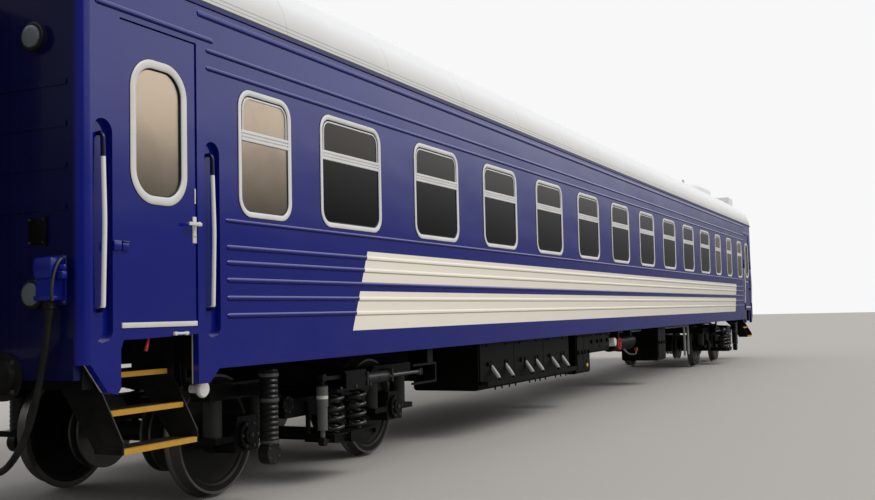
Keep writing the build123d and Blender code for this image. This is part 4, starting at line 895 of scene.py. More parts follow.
def buildPiece(name, parts, finish, body="coach_body", replaced=(), sharp=38.0):
    offsets = np.cumsum([0] + [len(points) for points, tables in parts])
    points = np.concatenate([points for points, tables in parts])
    faces = []
    for offset, (partPoints, tables) in zip(offsets, parts):
        for table in tables:
            faces += (table + offset).tolist()
    mesh = bpy.data.meshes.new(name)
    mesh.from_pydata(points.tolist(), [], faces)
    work = bmesh.new()
    work.from_mesh(mesh)
    bmesh.ops.remove_doubles(work, verts=work.verts, dist=0.00002)
    bmesh.ops.recalc_face_normals(work, faces=work.faces)
    work.to_mesh(mesh)
    work.free()
    mesh.polygons.foreach_set("use_smooth", np.ones(len(mesh.polygons), bool))
    mesh.set_sharp_from_angle(angle=math.radians(sharp))
    mesh.materials.append(finishes[finish])
    piece = bpy.data.objects.new(name, mesh)
    bpy.context.scene.collection.objects.link(piece)
    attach(piece, body)
    if replaced:
        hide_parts(*replaced)
    return piece


# Side windows: enamelled frame with a lip, rubber on both sides of it, three-ribbed bar and the vent pane's
# own frame
sideWindows = {
    "kinds": (((-10.834, 7.80, 9.30, 10.834), (0.70, 0.965)), (wideWindows, (1.058, 0.965))),
    "middle": 2.663,
    "radius": 0.150,
    "frame": [(0.0, 0.0), (0.0, 0.0045), (0.0025, 0.0078), (0.007, 0.0090), (0.018, 0.0094), (0.030, 0.0088),
              (0.035, 0.0070), (0.038, 0.0035), (0.042, 0.0025), (0.042, -0.0075), (0.033, -0.0075),
              (0.033, 0.0)],
    "rubbers": ([(-0.0045, 0.0), (-0.0035, 0.0030), (0.0012, 0.0042), (0.0012, 0.0)],
                [(0.0415, 0.0015), (0.0415, -0.0050), (0.0520, -0.0050), (0.0500, -0.0015),
                 (0.0460, 0.0010)]),
    "barHeights": (2.753, 2.833),
    "bar": [(0.0, -0.0045), (0.0, 0.0045), (0.004, 0.0082), (0.022, 0.0082), (0.025, 0.0000), (0.031, 0.0000),
            (0.034, 0.0080), (0.048, 0.0080), (0.051, 0.0000), (0.057, 0.0000), (0.060, 0.0090),
            (0.076, 0.0090),
            (0.080, 0.0055), (0.080, -0.0045)],
    "vent": [(0.0, -0.0045), (0.0, 0.0015), (0.0035, 0.0030), (0.0090, 0.0030), (0.0120, 0.0010),
             (0.0120, -0.0045)],
    "barInset": 0.040,
    "ventInsets": (0.016, 0.056, 0.002),    # from the bar's ends, the opening's top and the bar
    "ventRadius": 0.098,
}


def windowParts(settings):
    frames, rubbers = [], []
    low, high = settings["barHeights"]
    sideInset, topInset, footInset = settings["ventInsets"]
    ventHeights = [height for inset, height in settings["vent"]]
    for middles, size in settings["kinds"]:
        reach = size[0]/2 - settings["barInset"]
        top = settings["middle"] + size[1]/2 - topInset
        loops = np.stack([archLoop(reach - sideInset - inset, top - inset, high - footInset,
                                   settings["ventRadius"] - inset) for inset, height in settings["vent"]])
        for x in middles:
            for side in (-1, 1):
                opening = ((x, settings["middle"]), size, settings["radius"])
                frames.append(ringPart(*opening, settings["frame"], side, sideSkin, 8))
                rubbers += [ringPart(*opening, profile, side, sideSkin, 8) for profile in settings["rubbers"]]
                bar = [(side*(sideSkin + height), low + rise) for rise, height in settings["bar"]]
                frames.append(extrudedPart(bar, x - reach, x + reach))
                frames.append(facePart((x, 0.0), loops, ventHeights, side, sideSkin, False))
    return frames, rubbers


# Ribs of the body side: height, how far they reach on both sides of the middle, half height
sideRibs = {
    "rows": ((1.447, 11.335, 0.020), (1.574, 11.335, 0.020), (1.704, 11.335, 0.020), (1.830, 11.335, 0.020),
             (1.942, 11.335, 0.020), (2.137, 11.345, 0.016), (3.211, 11.555, 0.018), (3.338, 11.555, 0.018),
             (3.587, 11.650, 0.025)),
    "overDoor": (3.418, (-12.640, -11.465), 0.020),
    "proud": 0.0105,
    "sunk": 0.0005,
    "end": 0.030,
}


# Half an oval carried along x: half the height times the cosine, and the proud height times the sine to a
# small power; both ends draw it in as a quarter circle does
def ribPart(height, span, half, settings):
    turn = np.linspace(-1.0, 0.0, 6)
    draw = np.sqrt(np.clip(1 - np.concatenate([turn, turn[::-1]])**2, 0.0004, 1))
    along = np.concatenate([span[0] + settings["end"]*(1 + turn), span[1] - settings["end"]*(1 + turn[::-1])])
    angle = np.linspace(0, math.pi, 13)
    points = np.empty((len(along), len(angle), 3))
    points[..., 0] = along[:, None]
    points[..., 1] = settings["sunk"] - sideSkin - settings["proud"]*draw[:, None]*np.sin(angle)**0.8
    points[..., 2] = height + half*draw[:, None]*np.cos(angle)
    return gridPart(points, False, True, caps=True)


ribs = [ribPart(height, (-reach, reach), half, sideRibs) for height, reach, half in sideRibs["rows"]]
ribs += bothEnds([ribPart(*sideRibs["overDoor"], sideRibs)])
buildPiece("sideRibs", bothSides(ribs), "sidePaint", sharp=60.0)
print("ribs ready")

frameParts, rubberParts = windowParts(sideWindows)
buildPiece("windowFrameRings", frameParts, "frameWhite", replaced=("window_frames",))
buildPiece("windowRubbers", rubberParts, "gasketRubber")
print("side windows ready")

# Entrance doors: oval window ring, its rubbers, lever handle, key cover, sill bar and catch.
# A bar on the leaf is its x and z spans, how far it stands proud, and its bevel.
doorTrim = {
    "centre": (-12.04, 2.671),
    "ringSize": (0.562, 0.962),
    "ringRadius": 0.219,
    "ring": [(0.0, 0.0), (0.0, 0.0040), (0.005, 0.0080), (0.020, 0.0100), (0.040, 0.0096), (0.051, 0.0070),
             (0.056, 0.0025), (0.056, -0.0138), (0.0505, -0.0138), (0.0505, 0.0)],
    "rubbers": ([(0.0555, -0.0020), (0.0555, -0.0138), (0.0660, -0.0138), (0.0620, -0.0080)],
                [(-0.0040, 0.0), (-0.0030, 0.0030), (0.0012, 0.0042), (0.0012, 0.0)]),
    "whiteBars": (((-11.709, -11.671), (1.954, 2.138), 0.011, 0.004),
                  ((-11.684, -11.673), (2.229, 2.334), 0.007, 0.002),
                  ((-12.410, -11.672), (1.3835, 1.418), 0.014, 0.004)),
    "catchBars": (((-12.406, -12.349), (1.869, 1.933), 0.016, 0.005),
                  ((-12.406, -12.349), (1.923, 1.933), 0.024, 0.004)),
    "lever": ((-11.798, -1.555, 2.071), (-11.664, -1.541, 2.095), 0.005),
    "neck": [(0.0, 0.0), (0.0, 0.014), (0.030, 0.012), (0.034, 0.016), (0.046, 0.016), (0.050, 0.010),
             (0.050, 0.0)],
    "neckPlace": (-11.690, -1.508, 2.084),
    "keyhole": [(0.0, 0.0), (0.0, 0.006), (0.002, 0.005), (0.002, 0.0)],
    "keyholePlace": (-11.690, -1.5108, 1.999),
    "stop": ((-12.496, -1.532, 1.869), (-12.434, -1.509, 1.933), 0.005),
}


def leafBars(rows):
    return [barPart((x[0], -leafSkin - proud, z[0]), (x[1], -leafSkin, z[1]), bevel)
            for x, z, proud, bevel in rows]


def doorParts(trim):
    opening = (trim["centre"], trim["ringSize"], trim["ringRadius"])
    white = [ringPart(*opening, trim["ring"], -1, leafSkin, 12)] + leafBars(trim["whiteBars"])
    white += [turnedPart(trim["neck"], trim["neckPlace"], (0, -1, 0), 16), barPart(*trim["lever"])]
    dark = [ringPart(*opening, profile, -1, leafSkin, 12) for profile in trim["rubbers"]]
    dark.append(turnedPart(trim["keyhole"], trim["keyholePlace"], (0, -1, 0), 10))
    return white, dark, leafBars(trim["catchBars"])


whiteParts, darkParts, catchParts = doorParts(doorTrim)
buildPiece("doorStops", fourCorners([barPart(*doorTrim["stop"])]), "entrancePaint")
for cornerName, axes in coachCorners.items():
    words = cornerName.title().replace("_", "")
    body = "door_" + cornerName
    buildPiece("doorTrim" + words, flipped(whiteParts, axes), "trimWhite", body)
    buildPiece("doorRubber" + words, flipped(darkParts, axes), "gasketRubber", body)
    buildPiece("doorCatch" + words, flipped(catchParts, axes), "leafPaint", body)
print("door trim ready")

# Step nosings: an angle over each tread's front edge, and raised diamonds in rows behind it
stepNosing = {
    "spanX": (-12.394, -11.686),
    "treads": ((0.623, 1.505), (0.858, 1.390), (1.088, 1.250)),
    "angle": [(0.004, 0.004), (0.004, -0.030), (0.0, -0.031), (-0.001, 0.0), (-0.038, 0.0), (-0.040, 0.004)],
    "lug": [(-0.001, 0.0), (-0.001, 0.0125), (0.0035, 0.0075), (0.0035, 0.0)],
    "lugRows": 5,
    "lugPitch": (0.040, 0.034),
    "lugStart": (0.024, 0.062),
    "lugEnd": 0.014,
}


def nosingParts(settings):
    parts = []
    for top, outer in settings["treads"]:
        angle = [(-outer - out, top + up) for out, up in settings["angle"]]
        parts.append(extrudedPart(angle, *settings["spanX"]))
    return fourCorners(parts)


# Each second row of diamonds is moved on by half a pitch
def lugParts(settings):
    start, end = settings["spanX"]
    startX, startY = settings["lugStart"]
    pitchX, pitchY = settings["lugPitch"]
    across = startY + np.arange(settings["lugRows"])*pitchY
    lug = turnedPart(settings["lug"], (0, 0, 0), (0, 0, 1), 4)
    parts = []
    for top, outer in settings["treads"]:
        x, y = np.meshgrid(np.arange(start + startX, end, pitchX), across - outer)
        x[1::2] += pitchX/2
        places = np.stack([x, y, np.full_like(x, top)], -1).reshape(-1, 3)
        parts.append(repeated(lug, places[places[:, 0] < end - settings["lugEnd"]]))
    return fourCorners(parts)


buildPiece("stepNosings", nosingParts(stepNosing), "nosingYellow")
buildPiece("treadLugs", lugParts(stepNosing), "stepPaint")
print("steps ready")

# Tail lamps: a dark rim round each domed lens
tailLamp = {
    "y": 1.150,
    "heights": (1.603, 3.197),
    "rimX": -12.792,
    "rim": [(-0.010, 0.0860), (-0.008, 0.0905), (0.004, 0.0915), (0.010, 0.0870), (0.012, 0.0790),
            (0.010, 0.0710),
            (-0.010, 0.0700)],
    "lensX": -12.808,
    "lens": [(-0.004, 0.0), (-0.004, 0.0690), (0.0, 0.0695), (0.006, 0.0680), (0.0105, 0.0600),
             (0.0140, 0.0420),
             (0.0155, 0.0200), (0.0160, 0.0)],
}


def lampParts(settings, name, closed):
    places = [(settings[name + "X"], -settings["y"], height) for height in settings["heights"]]
    return fourCorners([turnedPart(settings[name], place, (-1, 0, 0), 32, closed) for place in places])


buildPiece("lampRims", lampParts(tailLamp, "rim", True), "gasketRubber")
buildPiece("lampLenses", lampParts(tailLamp, "lens", False), "lampGlass")

# Hexagon bolts, as shares of the height and the radius, and the rings of them on base plates and covers
hexBolt = [(-0.003, 0.0), (-0.003, 1.0), (0.75, 1.0), (1.0, 0.86), (1.0, 0.0)]
boltRings = {
    "buffer": dict(size=(0.016, 0.013), circle=0.126, count=4, turn=math.pi/4),
    "axleBox": dict(size=(0.012, 0.010), circle=0.098, count=6, turn=0.0),
    "frameCover": dict(size=(0.008, 0.007), circle=0.062, count=6, turn=0.3),
    "columnCover": dict(size=(0.010, 0.008), circle=0.072, count=6, turn=0.5),
}


def boltPart(centre, axis, radius, height):
    profile = [(min(along*height, height), share*radius) for along, share in hexBolt]
    return turnedPart(profile, centre, axis, 6)


# Bolts round a circle: the centre plus the circle's radius times the cosine sideways and the sine upwards
def boltCircle(centre, axis, look):
    angle = look["turn"] + np.arange(look["count"])*2*math.pi/look["count"]
    side = np.cross(np.array(axis, float), (0.0, 0.0, 1.0))
    places = look["circle"]*(np.cos(angle)[:, None]*side + np.sin(angle)[:, None]*np.array([0.0, 0.0, 1.0]))
    return repeated(boltPart(centre, axis, *look["size"]), places)


# Jumper sockets: flange, hood, lip, hinge and bracket as bars (low and high corner, bevel, axis, steps),
# the clamp arm, and the cable's tapered sleeves at both of its ends
socketFitting = {
    "castings": (((-12.764, -1.395, 1.535), (-12.7505, -1.225, 1.835), 0.005, 2),
                 ((-12.876, -1.384, 1.690), (-12.752, -1.236, 1.822), 0.022, 2, 4),
                 ((-12.872, -1.380, 1.563), (-12.754, -1.240, 1.590), 0.006, 2),
                 ((-12.800, -1.402, 1.800), (-12.780, -1.218, 1.820), 0.008, 1, 3),
                 ((-12.835, -1.438, 1.690), (-12.790, -1.365, 1.735), 0.008, 1, 3)),
    "arm": [(-12.800, -1.393, 1.812), (-12.840, -1.396, 1.770), (-12.868, -1.396, 1.690),
            (-12.874, -1.393, 1.610),
            (-12.862, -1.388, 1.560)],
    "armRadius": 0.008,
    "bolts": [(-12.765, y, z) for y in (-1.383, -1.237) for z in (1.550, 1.820)],
    "boltSize": (0.010, 0.008),
    "knob": [(-0.012, 0.0), (-0.012, 0.013), (0.006, 0.013), (0.010, 0.020), (0.022, 0.023), (0.036, 0.019),
             (0.042, 0.0)],
    "knobPlace": (-12.812, -1.422, 1.738),
    "sleeve": [(0.0, 0.0), (0.0, 0.040), (0.012, 0.041), (0.016, 0.034), (0.040, 0.034), (0.044, 0.038),
               (0.058, 0.038), (0.062, 0.031), (0.085, 0.029), (0.125, 0.0235), (0.128, 0.0)],
    "sleeveEnds": ((-12.815, -1.310, 1.572), (-12.685, -0.500, 0.915)),
}
# Holder for a signal disc: a dark plate with a raised channel at its outer edge and four bolts
discHolder = {
    "bars": (((-12.7575, -1.222, 1.908), (-12.7495, -1.076, 2.076), 0.002),
             ((-12.774, -1.233, 1.900), (-12.750, -1.217, 2.084), 0.003, 2)),
    "bolts": [(-12.757, y, z) for y in (-1.205, -1.090) for z in (1.922, 2.062)],
    "boltSize": (0.008, 0.006),
}


def endBolts(settings):
    return [boltPart(place, (-1, 0, 0), *settings["boltSize"]) for place in settings["bolts"]]


def socketParts(settings):
    castings = [barPart(*row) for row in settings["castings"]]
    castings.append(turnedPart(settings["knob"], settings["knobPlace"], (0, 0, 1), 14))
    clamps = [tubePart(softened(settings["arm"]), settings["armRadius"], 10)] + endBolts(settings)
    sleeves = [turnedPart(settings["sleeve"], place, (0, 0, -1), 20) for place in settings["sleeveEnds"]]
    return bothEnds(castings), bothEnds(clamps), sleeves


holderPlates = bothSides([barPart(*row) for row in discHolder["bars"]])
holderBolts = bothSides(endBolts(discHolder))
for endName, axes in coachEnds.items():
    words = endName.title()
    buildPiece("discHolder" + words, flipped(holderPlates, axes), "underframePaint")
    buildPiece("discBolts" + words, flipped(holderBolts, axes), "boltSteel")

castingParts, clampParts, sleeveParts = socketParts(socketFitting)
buildPiece("socketCastings", castingParts, "socketPaint")
buildPiece("socketClamps", clampParts, "boltSteel")
buildPiece("cableSleeves", sleeveParts, "cableRubber")
print("sockets ready")

# Gangway doors: window rubber, pane and lever, facing the passage
passageDoor = {
    "skin": 12.740,
    "centre": (0.0, 2.628),
    "size": (0.424, 0.744),
    "radius": 0.040,
    "ring": [(0.0, 0.0), (0.0, 0.004), (0.006, 0.009), (0.020, 0.009), (0.026, 0.004), (0.0265, -0.030),
             (0.0215, -0.030), (0.0215, 0.0)],
    "pane": ((-12.722, -0.186, 2.282), (-12.716, 0.186, 2.974), 0.0025),
    "plate": ((-12.746, 0.272, 1.940), (-12.739, 0.308, 2.130), 0.003),
    "lever": ((-12.796, 0.180, 2.070), (-12.782, 0.304, 2.094), 0.005, 1),
    "neck": [(0.0, 0.0), (0.0, 0.014), (0.036, 0.012), (0.048, 0.012), (0.050, 0.0)],
    "neckPlace": (-12.744, 0.290, 2.082),
}


# The same part turned to face along the coach: x and y change places
def endwise(part):
    return part[0][:, [1, 0, 2]], part[1]


def passageDoorParts(door):
    ring = ringPart(door["centre"], door["size"], door["radius"], door["ring"], -1, door["skin"], 5)
    neck = turnedPart(door["neck"], door["neckPlace"], (-1, 0, 0), 14)
    return [endwise(ring)], [barPart(*door["pane"])], [barPart(*door["plate"]), barPart(*door["lever"]), neck]


ringParts, paneParts, leverParts = passageDoorParts(passageDoor)
for endName, axes in coachEnds.items():
    words = endName.title()
    body = "gangway_door_" + endName
    buildPiece("passageRubber" + words, flipped(ringParts, axes), "gasketRubber", body)
    buildPiece("passagePane" + words, flipped(paneParts, axes), "coachGlass", body)
    buildPiece("passageLever" + words, flipped(leverParts, axes), "trimWhite", body)
print("end fittings ready")

# Bolts on the buffers and the bogies. A place on a bogie is (from its middle towards the coach's end, y,
# height).
bufferPlace = (-12.772, -0.875, 1.098)
bogieBolts = {
    "rings": (("axleBox", (-axleReach, -1.168, axleZ)), ("axleBox", (axleReach, -1.168, axleZ)),
              ("frameCover", (0.69, -1.158, 0.688)), ("columnCover", (axleReach, -1.395, 0.374))),
    "axleEnds": ((-axleReach, axleReach), -1.182, axleZ, (0.022, 0.014)),
    "upperRow": ((-0.27, -0.47, -0.67), -1.404, 0.848, (0.014, 0.012)),
    "lowerRow": ((-0.26, 0.0, 0.26), -1.4185, 0.800, (0.014, 0.010)),
}


def bogieBoltParts(settings, middle, facing):
    parts = [boltCircle((middle + facing*along, y, z), (0, -1, 0), boltRings[name])
             for name, (along, y, z) in settings["rings"]]
    for row in ("axleEnds", "upperRow", "lowerRow"):
        places, y, z, size = settings[row]
        parts += [boltPart((middle + facing*along, y, z), (0, -1, 0), *size) for along in places]
    return bothSides(parts)


bufferBolts = fourCorners([boltCircle(bufferPlace, (-1, 0, 0), boltRings["buffer"])])
buildPiece("bufferBolts", bufferBolts, "boltSteel")
for endName, facing in (("front", -1), ("rear", 1)):
    bolts = bogieBoltParts(bogieBolts, facing*bogieX, facing)
    buildPiece("bogie" + endName.title() + "Bolts", bolts, "boltSteel", "bogie_" + endName)
print("bolts ready")

# Underfloor boxes: pale struts down the battery box's face, and latches, hinges and bolts on every door
batteryStruts = {
    "start": -6.44,
    "places": (0.38, 0.83, 1.52, 1.90, 2.52, 2.95),
    "top": (-1.352, 0.797),
    "foot": (-1.462, 0.646),
    "profile": [(0.0, 0.0), (0.0, 0.020), (0.010, 0.027), (0.150, 0.027), (0.158, 0.023), (0.176, 0.023),
                (0.182, 0.0)],
}
# Each box: start and end along the coach, outer y, bottom of its doors, number of doors
boxRows = [(-6.44, -3.15, -1.35, 0.588, 3), (-2.92, -2.25, -1.38, 0.558, 2), (-2.19, -1.06, -1.34, 0.828, 2),
           (1.98, 2.62, -1.39, 0.508, 2), (-6.75, -4.55, 1.38, 0.568, 2), (-4.25, -2.15, 1.38, 0.538, 2),
           (1.25, 3.65, 1.38, 0.588, 2)]
doorHardware = {
    "top": 1.058,
    "proud": 0.012,
    "sunk": 0.002,
    "border": 0.030,
    "fittingShares": (0.22, 0.78),
    "hingeReach": (0.045, 0.12),               # at most, and as a share of the door's width
    "hinge": (0.010, 0.030, 0.008),            # how far out, and its bottom and top below the door's top
    "latch": (0.011, 0.016, 0.030),            # half width, how far out, half height
    "handle": (0.030, 0.026, 0.012, 0.008),    # half width, outer and inner face, half height
    "boltShares": (0.08, 0.92),
    "boltInsets": (0.030, 0.024),
    "bolt": (0.008, 0.006),
    "bevel": 0.004,
}


def strutParts(settings):
    topY, topZ = settings["top"]
    footY, footZ = settings["foot"]
    axis = (0, footY - topY, footZ - topZ)
    return [turnedPart(settings["profile"], (settings["start"] + place, topY, topZ), axis, 16)
            for place in settings["places"]]


# One box door's fittings: a hinge, a latch and its handle at two places, and four bolts
def boxDoorParts(left, pitch, face, low, settings):
    top, bevel, back = settings["top"], settings["bevel"], settings["sunk"] - face
    middle = (low + top)/2
    reach = min(settings["hingeReach"][0], settings["hingeReach"][1]*pitch)
    hingeOut, hingeLow, hingeHigh = settings["hinge"]
    latchHalf, latchOut, latchTall = settings["latch"]
    handleHalf, handleOut, handleIn, handleTall = settings["handle"]
    lowInset, topInset = settings["boltInsets"]
    parts = []
    for share in settings["fittingShares"]:
        x = left + pitch*share
        parts.append(barPart((x - reach, -face - hingeOut, top - hingeLow),
                             (x + reach, back, top - hingeHigh), bevel))
        parts.append(barPart((x - latchHalf, -face - latchOut, middle - latchTall),
                             (x + latchHalf, back, middle + latchTall), bevel, 2))
        parts.append(barPart((x - handleHalf, -face - handleOut, middle - handleTall),
                             (x + handleHalf, -face - handleIn, middle + handleTall), bevel))
    for share in settings["boltShares"]:
        parts += [boltPart((left + pitch*share, -face, z), (0, -1, 0), *settings["bolt"])
                  for z in (low + lowInset, top - topInset)]
    return parts


def latchParts(rows, settings):
    parts = []
    for start, end, outer, low, count in rows:
        pitch = (end - start - 2*settings["border"])/count
        row = []
        for door in range(count):
            left = start + settings["border"] + pitch*door
            row += boxDoorParts(left, pitch, abs(outer) + settings["proud"], low, settings)
        parts += row if outer < 0 else flipped(row, (1,))
    return parts


buildPiece("batteryStruts", strutParts(batteryStruts), "strutGrey")
buildPiece("boxLatches", latchParts(boxRows, doorHardware), "boxPaint")

# Fittings between the boxes: a white cap and a red valve wheel, a small red tap, drain pipes and brake pipes
underfloor = {
    "cap": [(0.0, 0.0), (0.0, 0.060), (0.008, 0.068), (0.120, 0.068), (0.130, 0.058), (0.134, 0.0)],
    "capPlace": (-0.98, -1.300, 0.900),
    "wheelRing": [(-0.012, 0.078), (-0.012, 0.096), (0.0, 0.102), (0.012, 0.096), (0.012, 0.078),
                  (0.0, 0.072)],
    "wheelPlace": (-0.62, -1.390, 0.860),
    "hub": [(-0.060, 0.0), (-0.060, 0.058), (-0.052, 0.064), (-0.010, 0.064), (-0.004, 0.040), (0.020, 0.030),
            (0.024, 0.0)],
    "hubPlace": (-0.62, -1.385, 0.860),
    "spokes": (3, 0.3, 0.082, 0.008),    # number, first turn, reach and radius
    "tap": [(0.0, 0.0), (0.0, 0.030), (0.050, 0.030), (0.060, 0.0)],
    "tapPlace": (0.42, -1.392, 0.700),
    "valvePipe": [(-0.62, -1.385, 0.860), (-0.62, -1.300, 0.860), (-0.62, -1.180, 0.900),
                  (-0.62, -1.100, 0.900)],
    "capPipe": [(-0.98, -1.302, 0.900), (-0.98, -1.200, 0.900), (-0.98, -1.100, 0.900)],
    "tapPipe": [(0.42, -1.392, 0.700), (0.42, -1.392, 0.640), (0.42, -1.250, 0.640), (0.42, -1.150, 0.760)],
    "pipeRadii": (0.020, 0.034, 0.012),    # of the three pipes above
    "drains": ((4.51, 0.42), (4.86, 0.44)),
    "drain": ((-1.250, 1.110), (-1.340, 1.060), (-1.350, 0.950)),
    "drainRadius": 0.024,
    "brakeX": (-3.10, 0.0, 6.20),
    "brakePipes": (-1.075, -0.580),
    "brakeZ": 1.020,
    "brakeRadius": 0.018,
}


def underfloorParts(settings):
    white = [turnedPart(settings["cap"], settings["capPlace"], (0, -1, 0), 24)]
    red = [turnedPart(settings["wheelRing"], settings["wheelPlace"], (0, -1, 0), 28, closed=True),
           turnedPart(settings["hub"], settings["hubPlace"], (0, -1, 0), 16)]
    count, first, reach, spokeRadius = settings["spokes"]
    centre = np.array(settings["wheelPlace"])
    for angle in first + np.arange(count)*math.pi/count:
        spoke = np.array([math.cos(angle), 0.0, math.sin(angle)])*reach
        red.append(tubePart([centre - spoke, centre, centre + spoke], spokeRadius, 8))
    red.append(turnedPart(settings["tap"], settings["tapPlace"], (0, 0, 1), 14))
    valveRadius, capRadius, tapRadius = settings["pipeRadii"]
    pipes = [tubePart(softened(settings["valvePipe"]), valveRadius), tubePart(settings["capPipe"], capRadius),
             tubePart(softened(settings["tapPipe"]), tapRadius, 10)]
    for x, low in settings["drains"]:
        route = [(x, y, z) for y, z in settings["drain"]] + [(x, settings["drain"][-1][0], low)]
        pipes.append(tubePart(softened(route), settings["drainRadius"]))
    for y in settings["brakePipes"]:
        route = [(x, y, settings["brakeZ"]) for x in settings["brakeX"]]
        pipes.append(tubePart(route, settings["brakeRadius"], 10))
    return white, red, pipes


whiteFittings, redFittings, pipeParts = underfloorParts(underfloor)
buildPiece("drainCap", whiteFittings, "trimWhite")
buildPiece("valveWheel", redFittings, "signalRed")
buildPiece("underfloorPipes", pipeParts, "pipeGrey")

# By the left front steps: filler cap with its pipe, red release handle and the bolt under the apron; and
# the marker lamp on a box
stepFitting = {
    "cap": [(-0.095, 0.0), (-0.095, 0.030), (-0.020, 0.030), (-0.018, 0.052), (0.0, 0.062), (0.016, 0.062),
            (0.026, 0.054), (0.030, 0.0)],
    "capPlace": (-11.493, -1.400, 0.936),
    "pipe": [(-11.493, -1.315, 0.936), (-11.493, -1.270, 0.940), (-11.493, -1.240, 1.000),
             (-11.493, -1.240, 1.140)],
    "pipeRadius": 0.024,
    "handle": [(-12.118, -1.470, 1.330), (-12.130, -1.470, 1.290), (-12.153, -1.472, 1.232)],
    "handleRadius": (0.010, 0.010, 0.013),
    "bolt": [(-11.935, -1.524, 1.337), (-11.860, -1.524, 1.337), (-11.785, -1.524, 1.337)],
    "boltRadius": 0.009,
    "keepers": [((x - 0.010, -1.533, 1.324), (x + 0.010, -1.509, 1.350), 0.004) for x in (-11.915, -11.805)],
    "lamp": [(-0.004, 0.0), (-0.004, 0.026), (0.010, 0.028), (0.016, 0.022), (0.019, 0.0)],
    "lampPlace": (-2.440, -1.392, 0.609),
}


def buildStepFittings(settings):
    cap = turnedPart(settings["cap"], settings["capPlace"], (0, -1, 0))
    buildPiece("fillerCap", [cap], "trimWhite")
    pipe = tubePart(softened(settings["pipe"]), settings["pipeRadius"])
    buildPiece("fillerPipe", [pipe], "tankPaint")
    handle = tubePart(settings["handle"], settings["handleRadius"], 10)
    buildPiece("releaseHandle", [handle], "signalRed")
    bolt = [tubePart(settings["bolt"], settings["boltRadius"], 10)]
    bolt += [barPart(*row) for row in settings["keepers"]]
    buildPiece("apronBolt", bolt, "trimWhite")
    lamp = turnedPart(settings["lamp"], settings["lampPlace"], (0, -1, 0), 18)
    buildPiece("markerLamp", [lamp], "lampAmber")


buildStepFittings(stepFitting)
print("underfloor fittings ready")

# Roof: a grab loop on each side, near the intake hood
roofLoop = {"x": (6.520, 6.690), "y": -1.0, "height": 0.085, "sunk": 0.012, "radius": 0.009, "crown": 4.448,
            "crownRadius": 3.2}


# The roof's height there is the crown's, less the crown radius, plus the root of radius squared minus y
# squared
def loopParts(settings):
    radius, y = settings["crownRadius"], settings["y"]
    base = settings["crown"] - radius + math.sqrt(radius**2 - y**2) - settings["sunk"]
    top = base + settings["sunk"] + settings["height"]
    start, end = settings["x"]
    path = softened([(start, y, base), (start, y, top), (end, y, top), (end, y, base)], 3)
    return bothSides([tubePart(path, settings["radius"], 10)])


buildPiece("roofLoops", loopParts(roofLoop), "pipeGrey")
print("roof fittings ready")

# Berths: crowned pads with sewn channels on edged boards
berth = {
    "reach": 0.8597,
    "width": 0.58,
    "spanY": (-1.4497, 0.44),
    "tops": {"lower": 1.828, "upper": 2.978},
    "board": 0.026,
    "thickness": 0.130,
    "padInset": (0.006, 0.012, 0.004),
    "boardInset": 0.002,
    "boardBevel": 0.007,
    "channels": (-0.52, 0.0, 0.52),
    "channelWidth": 0.012,
    "channelDepth": 0.16,
    "crown": 0.10,
    "draw": 0.022,
    "grid": (36, 26),
}


# Rounded block: the cosine and sine of the turn to a small power give width and height, both falling off at
# the ends in the same way along the length; the sides draw in between the corners, the top is crowned and
# dips by a bell curve at each sewn channel
def padPart(centre, half, settings):
    rows, columns = settings["grid"]
    along = np.sin(np.linspace(-math.pi/2, math.pi/2, rows))
    ends = np.clip(1 - np.abs(along)**9, 0, 1)**0.32
    angle = np.linspace(0, 2*math.pi, columns, endpoint=False)
    x = np.sign(np.cos(angle))*np.abs(np.cos(angle))**0.36
    z = np.sign(np.sin(angle))*np.abs(np.sin(angle))**0.42
    draw = 1 - settings["draw"]*(1 - along**2)[:, None]
    crown = 1 + settings["crown"]*(1 - x**2)*(1 - along**4)[:, None]*(z > 0)
    dips = np.exp(-((along[:, None] - np.array(settings["channels"]))/settings["channelWidth"])**2).sum(1)
    dips = settings["channelDepth"]*dips[:, None]*np.clip(z, 0, 1)
    points = np.empty((rows, columns, 3))
    points[..., 0] = centre[0] + half[0]*draw*ends[:, None]*x
    points[..., 1] = centre[1] + half[1]*along[:, None]
    points[..., 2] = centre[2] + half[2]*(ends[:, None]*z*crown*0.90 - dips)
    return gridPart(points, False, True)


def berthParts(settings, top):
    pads, boards = [], []
    lowY, highY = settings["spanY"]
    thick = (settings["thickness"] - settings["board"])/2
    foot = top - settings["thickness"]
    insetX, insetY, insetZ = settings["padInset"]
    inset = settings["boardInset"]
    half = (settings["width"]/2 - insetX, (highY - lowY)/2 - insetY, thick)
    reach = settings["width"]/2 - inset
    for middle in wideWindows:
        for side in (-1, 1):
            x = middle + side*(settings["reach"] - settings["width"]/2)
            pads.append(padPart((x, (lowY + highY)/2, top - thick - insetZ), half, settings))
            low = (x - reach, lowY + inset, foot)
            high = (x + reach, highY - inset, foot + settings["board"])
            boards.append(barPart(low, high, settings["boardBevel"], 1))
    return pads, boards


for level, top in berth["tops"].items():
    padParts, boardParts = berthParts(berth, top)
    pads = buildPiece(level + "BerthPads", padParts, "berthCover", replaced=("berths",),
                      sharp=80.0)
    buildPiece(level + "BerthBoards", boardParts, "interiorPanel", replaced=("berths",))
print("berths ready")

# Floor, backdrop and light. Glossy rays see a darker floor, a low dark horizon and darkness ahead of the
# front end.
studio = {
    "reach": 160.0,
    "floor": srgb(186, 182, 176),
    "ground": srgb(64, 62, 60),
    "sky": srgb(248, 248, 249),
    "skyLight": 0.62,
    "horizon": 0.16,
    "horizonSpan": (0.01, 0.17),
    "sideHorizon": 0.10,
    "ahead": 0.12,
    "aheadSpan": (-0.55, -0.15),
    "sunLight": 1.35,
    "sunAngle": 35.0,
    "sunFrom": (0.34, -0.80, 0.85),
}


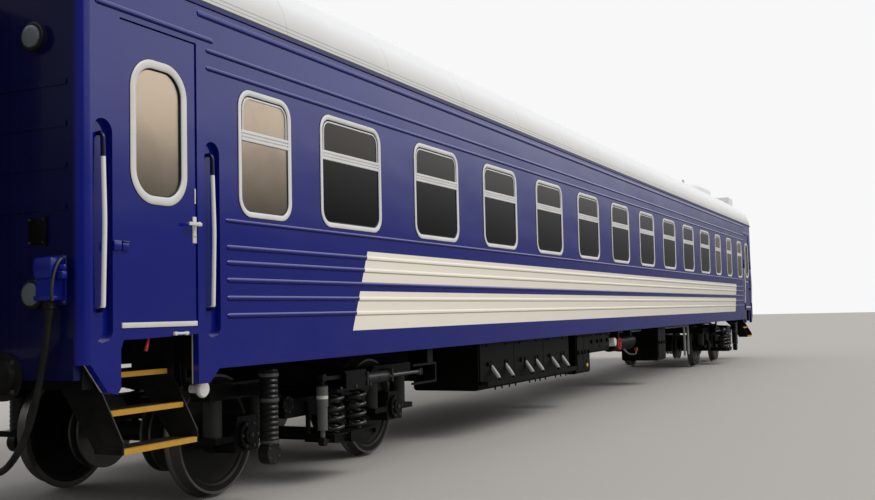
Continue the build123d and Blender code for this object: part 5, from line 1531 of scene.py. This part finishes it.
def makeFloor(settings):
    floor = bpy.data.objects.new("studioFloor", bpy.data.meshes.new("studioFloor"))
    reach = settings["reach"]
    corners = [(-reach, -reach, 0), (reach, -reach, 0), (reach, reach, 0), (-reach, reach, 0)]
    floor.data.from_pydata(corners, [], [(0, 1, 2, 3)])
    bpy.context.scene.collection.objects.link(floor)
    tree, shader = startMaterial("studioFloor", {"Roughness": 0.85})
    mirrored = addNode(tree, "LightPath", {})["Is Glossy Ray"]
    setInput(tree, shader, "Base Color", mixColour(tree, mirrored, settings["floor"], settings["ground"]))
    floor.data.materials.append(finishes["studioFloor"])


def makeSky(settings):
    world = bpy.data.worlds.new("studioWorld")
    world.use_nodes = True
    tree = world.node_tree
    rays = addNode(tree, "LightPath", {})
    mirrored = rays["Is Glossy Ray"]
    seen = add(tree, rays["Is Camera Ray"], add(tree, mirrored, rays["Is Transmission Ray"]), clamp=True)
    toward = addNode(tree, "SeparateXYZ", {0: addNode(tree, "TexCoord", {})["Generated"]})
    sideways = multiply(tree, absolute(tree, toward["Y"]), settings["sideHorizon"])
    smooth = {"interpolation_type": "SMOOTHSTEP"}
    height = subtract(tree, toward["Z"], sideways)
    rise = remap(tree, height, settings["horizonSpan"], settings["horizon"], 1.0, **smooth)
    ahead = remap(tree, toward["X"], settings["aheadSpan"], settings["ahead"], 1.0, **smooth)
    strength = mixValue(tree, seen, settings["skyLight"], 1.0)
    strength = mixValue(tree, mirrored, strength, multiply(tree, rise, ahead))
    shader = tree.nodes["Background"]
    setInput(tree, shader, "Color", mixColour(tree, seen, (1.0, 1.0, 1.0, 1.0), settings["sky"]))
    setInput(tree, shader, "Strength", strength)
    bpy.context.scene.world = world


def makeSun(settings):
    sun = bpy.data.objects.new("softSun", bpy.data.lights.new("softSun", "SUN"))
    sun.data.energy = settings["sunLight"]
    sun.data.angle = math.radians(settings["sunAngle"])
    back = np.array(settings["sunFrom"], float)
    back /= np.linalg.norm(back)
    right = np.cross((0, 0, 1.0), back)
    right /= np.linalg.norm(right)
    sun.matrix_world = Matrix((right, np.cross(back, right), back)).transposed().to_4x4()
    bpy.context.scene.collection.objects.link(sun)


makeFloor(studio)
makeSky(studio)
makeSun(studio)
bpy.context.scene.view_settings.view_transform = "Standard"
print("studio ready")

bpy.context.view_layer.update()
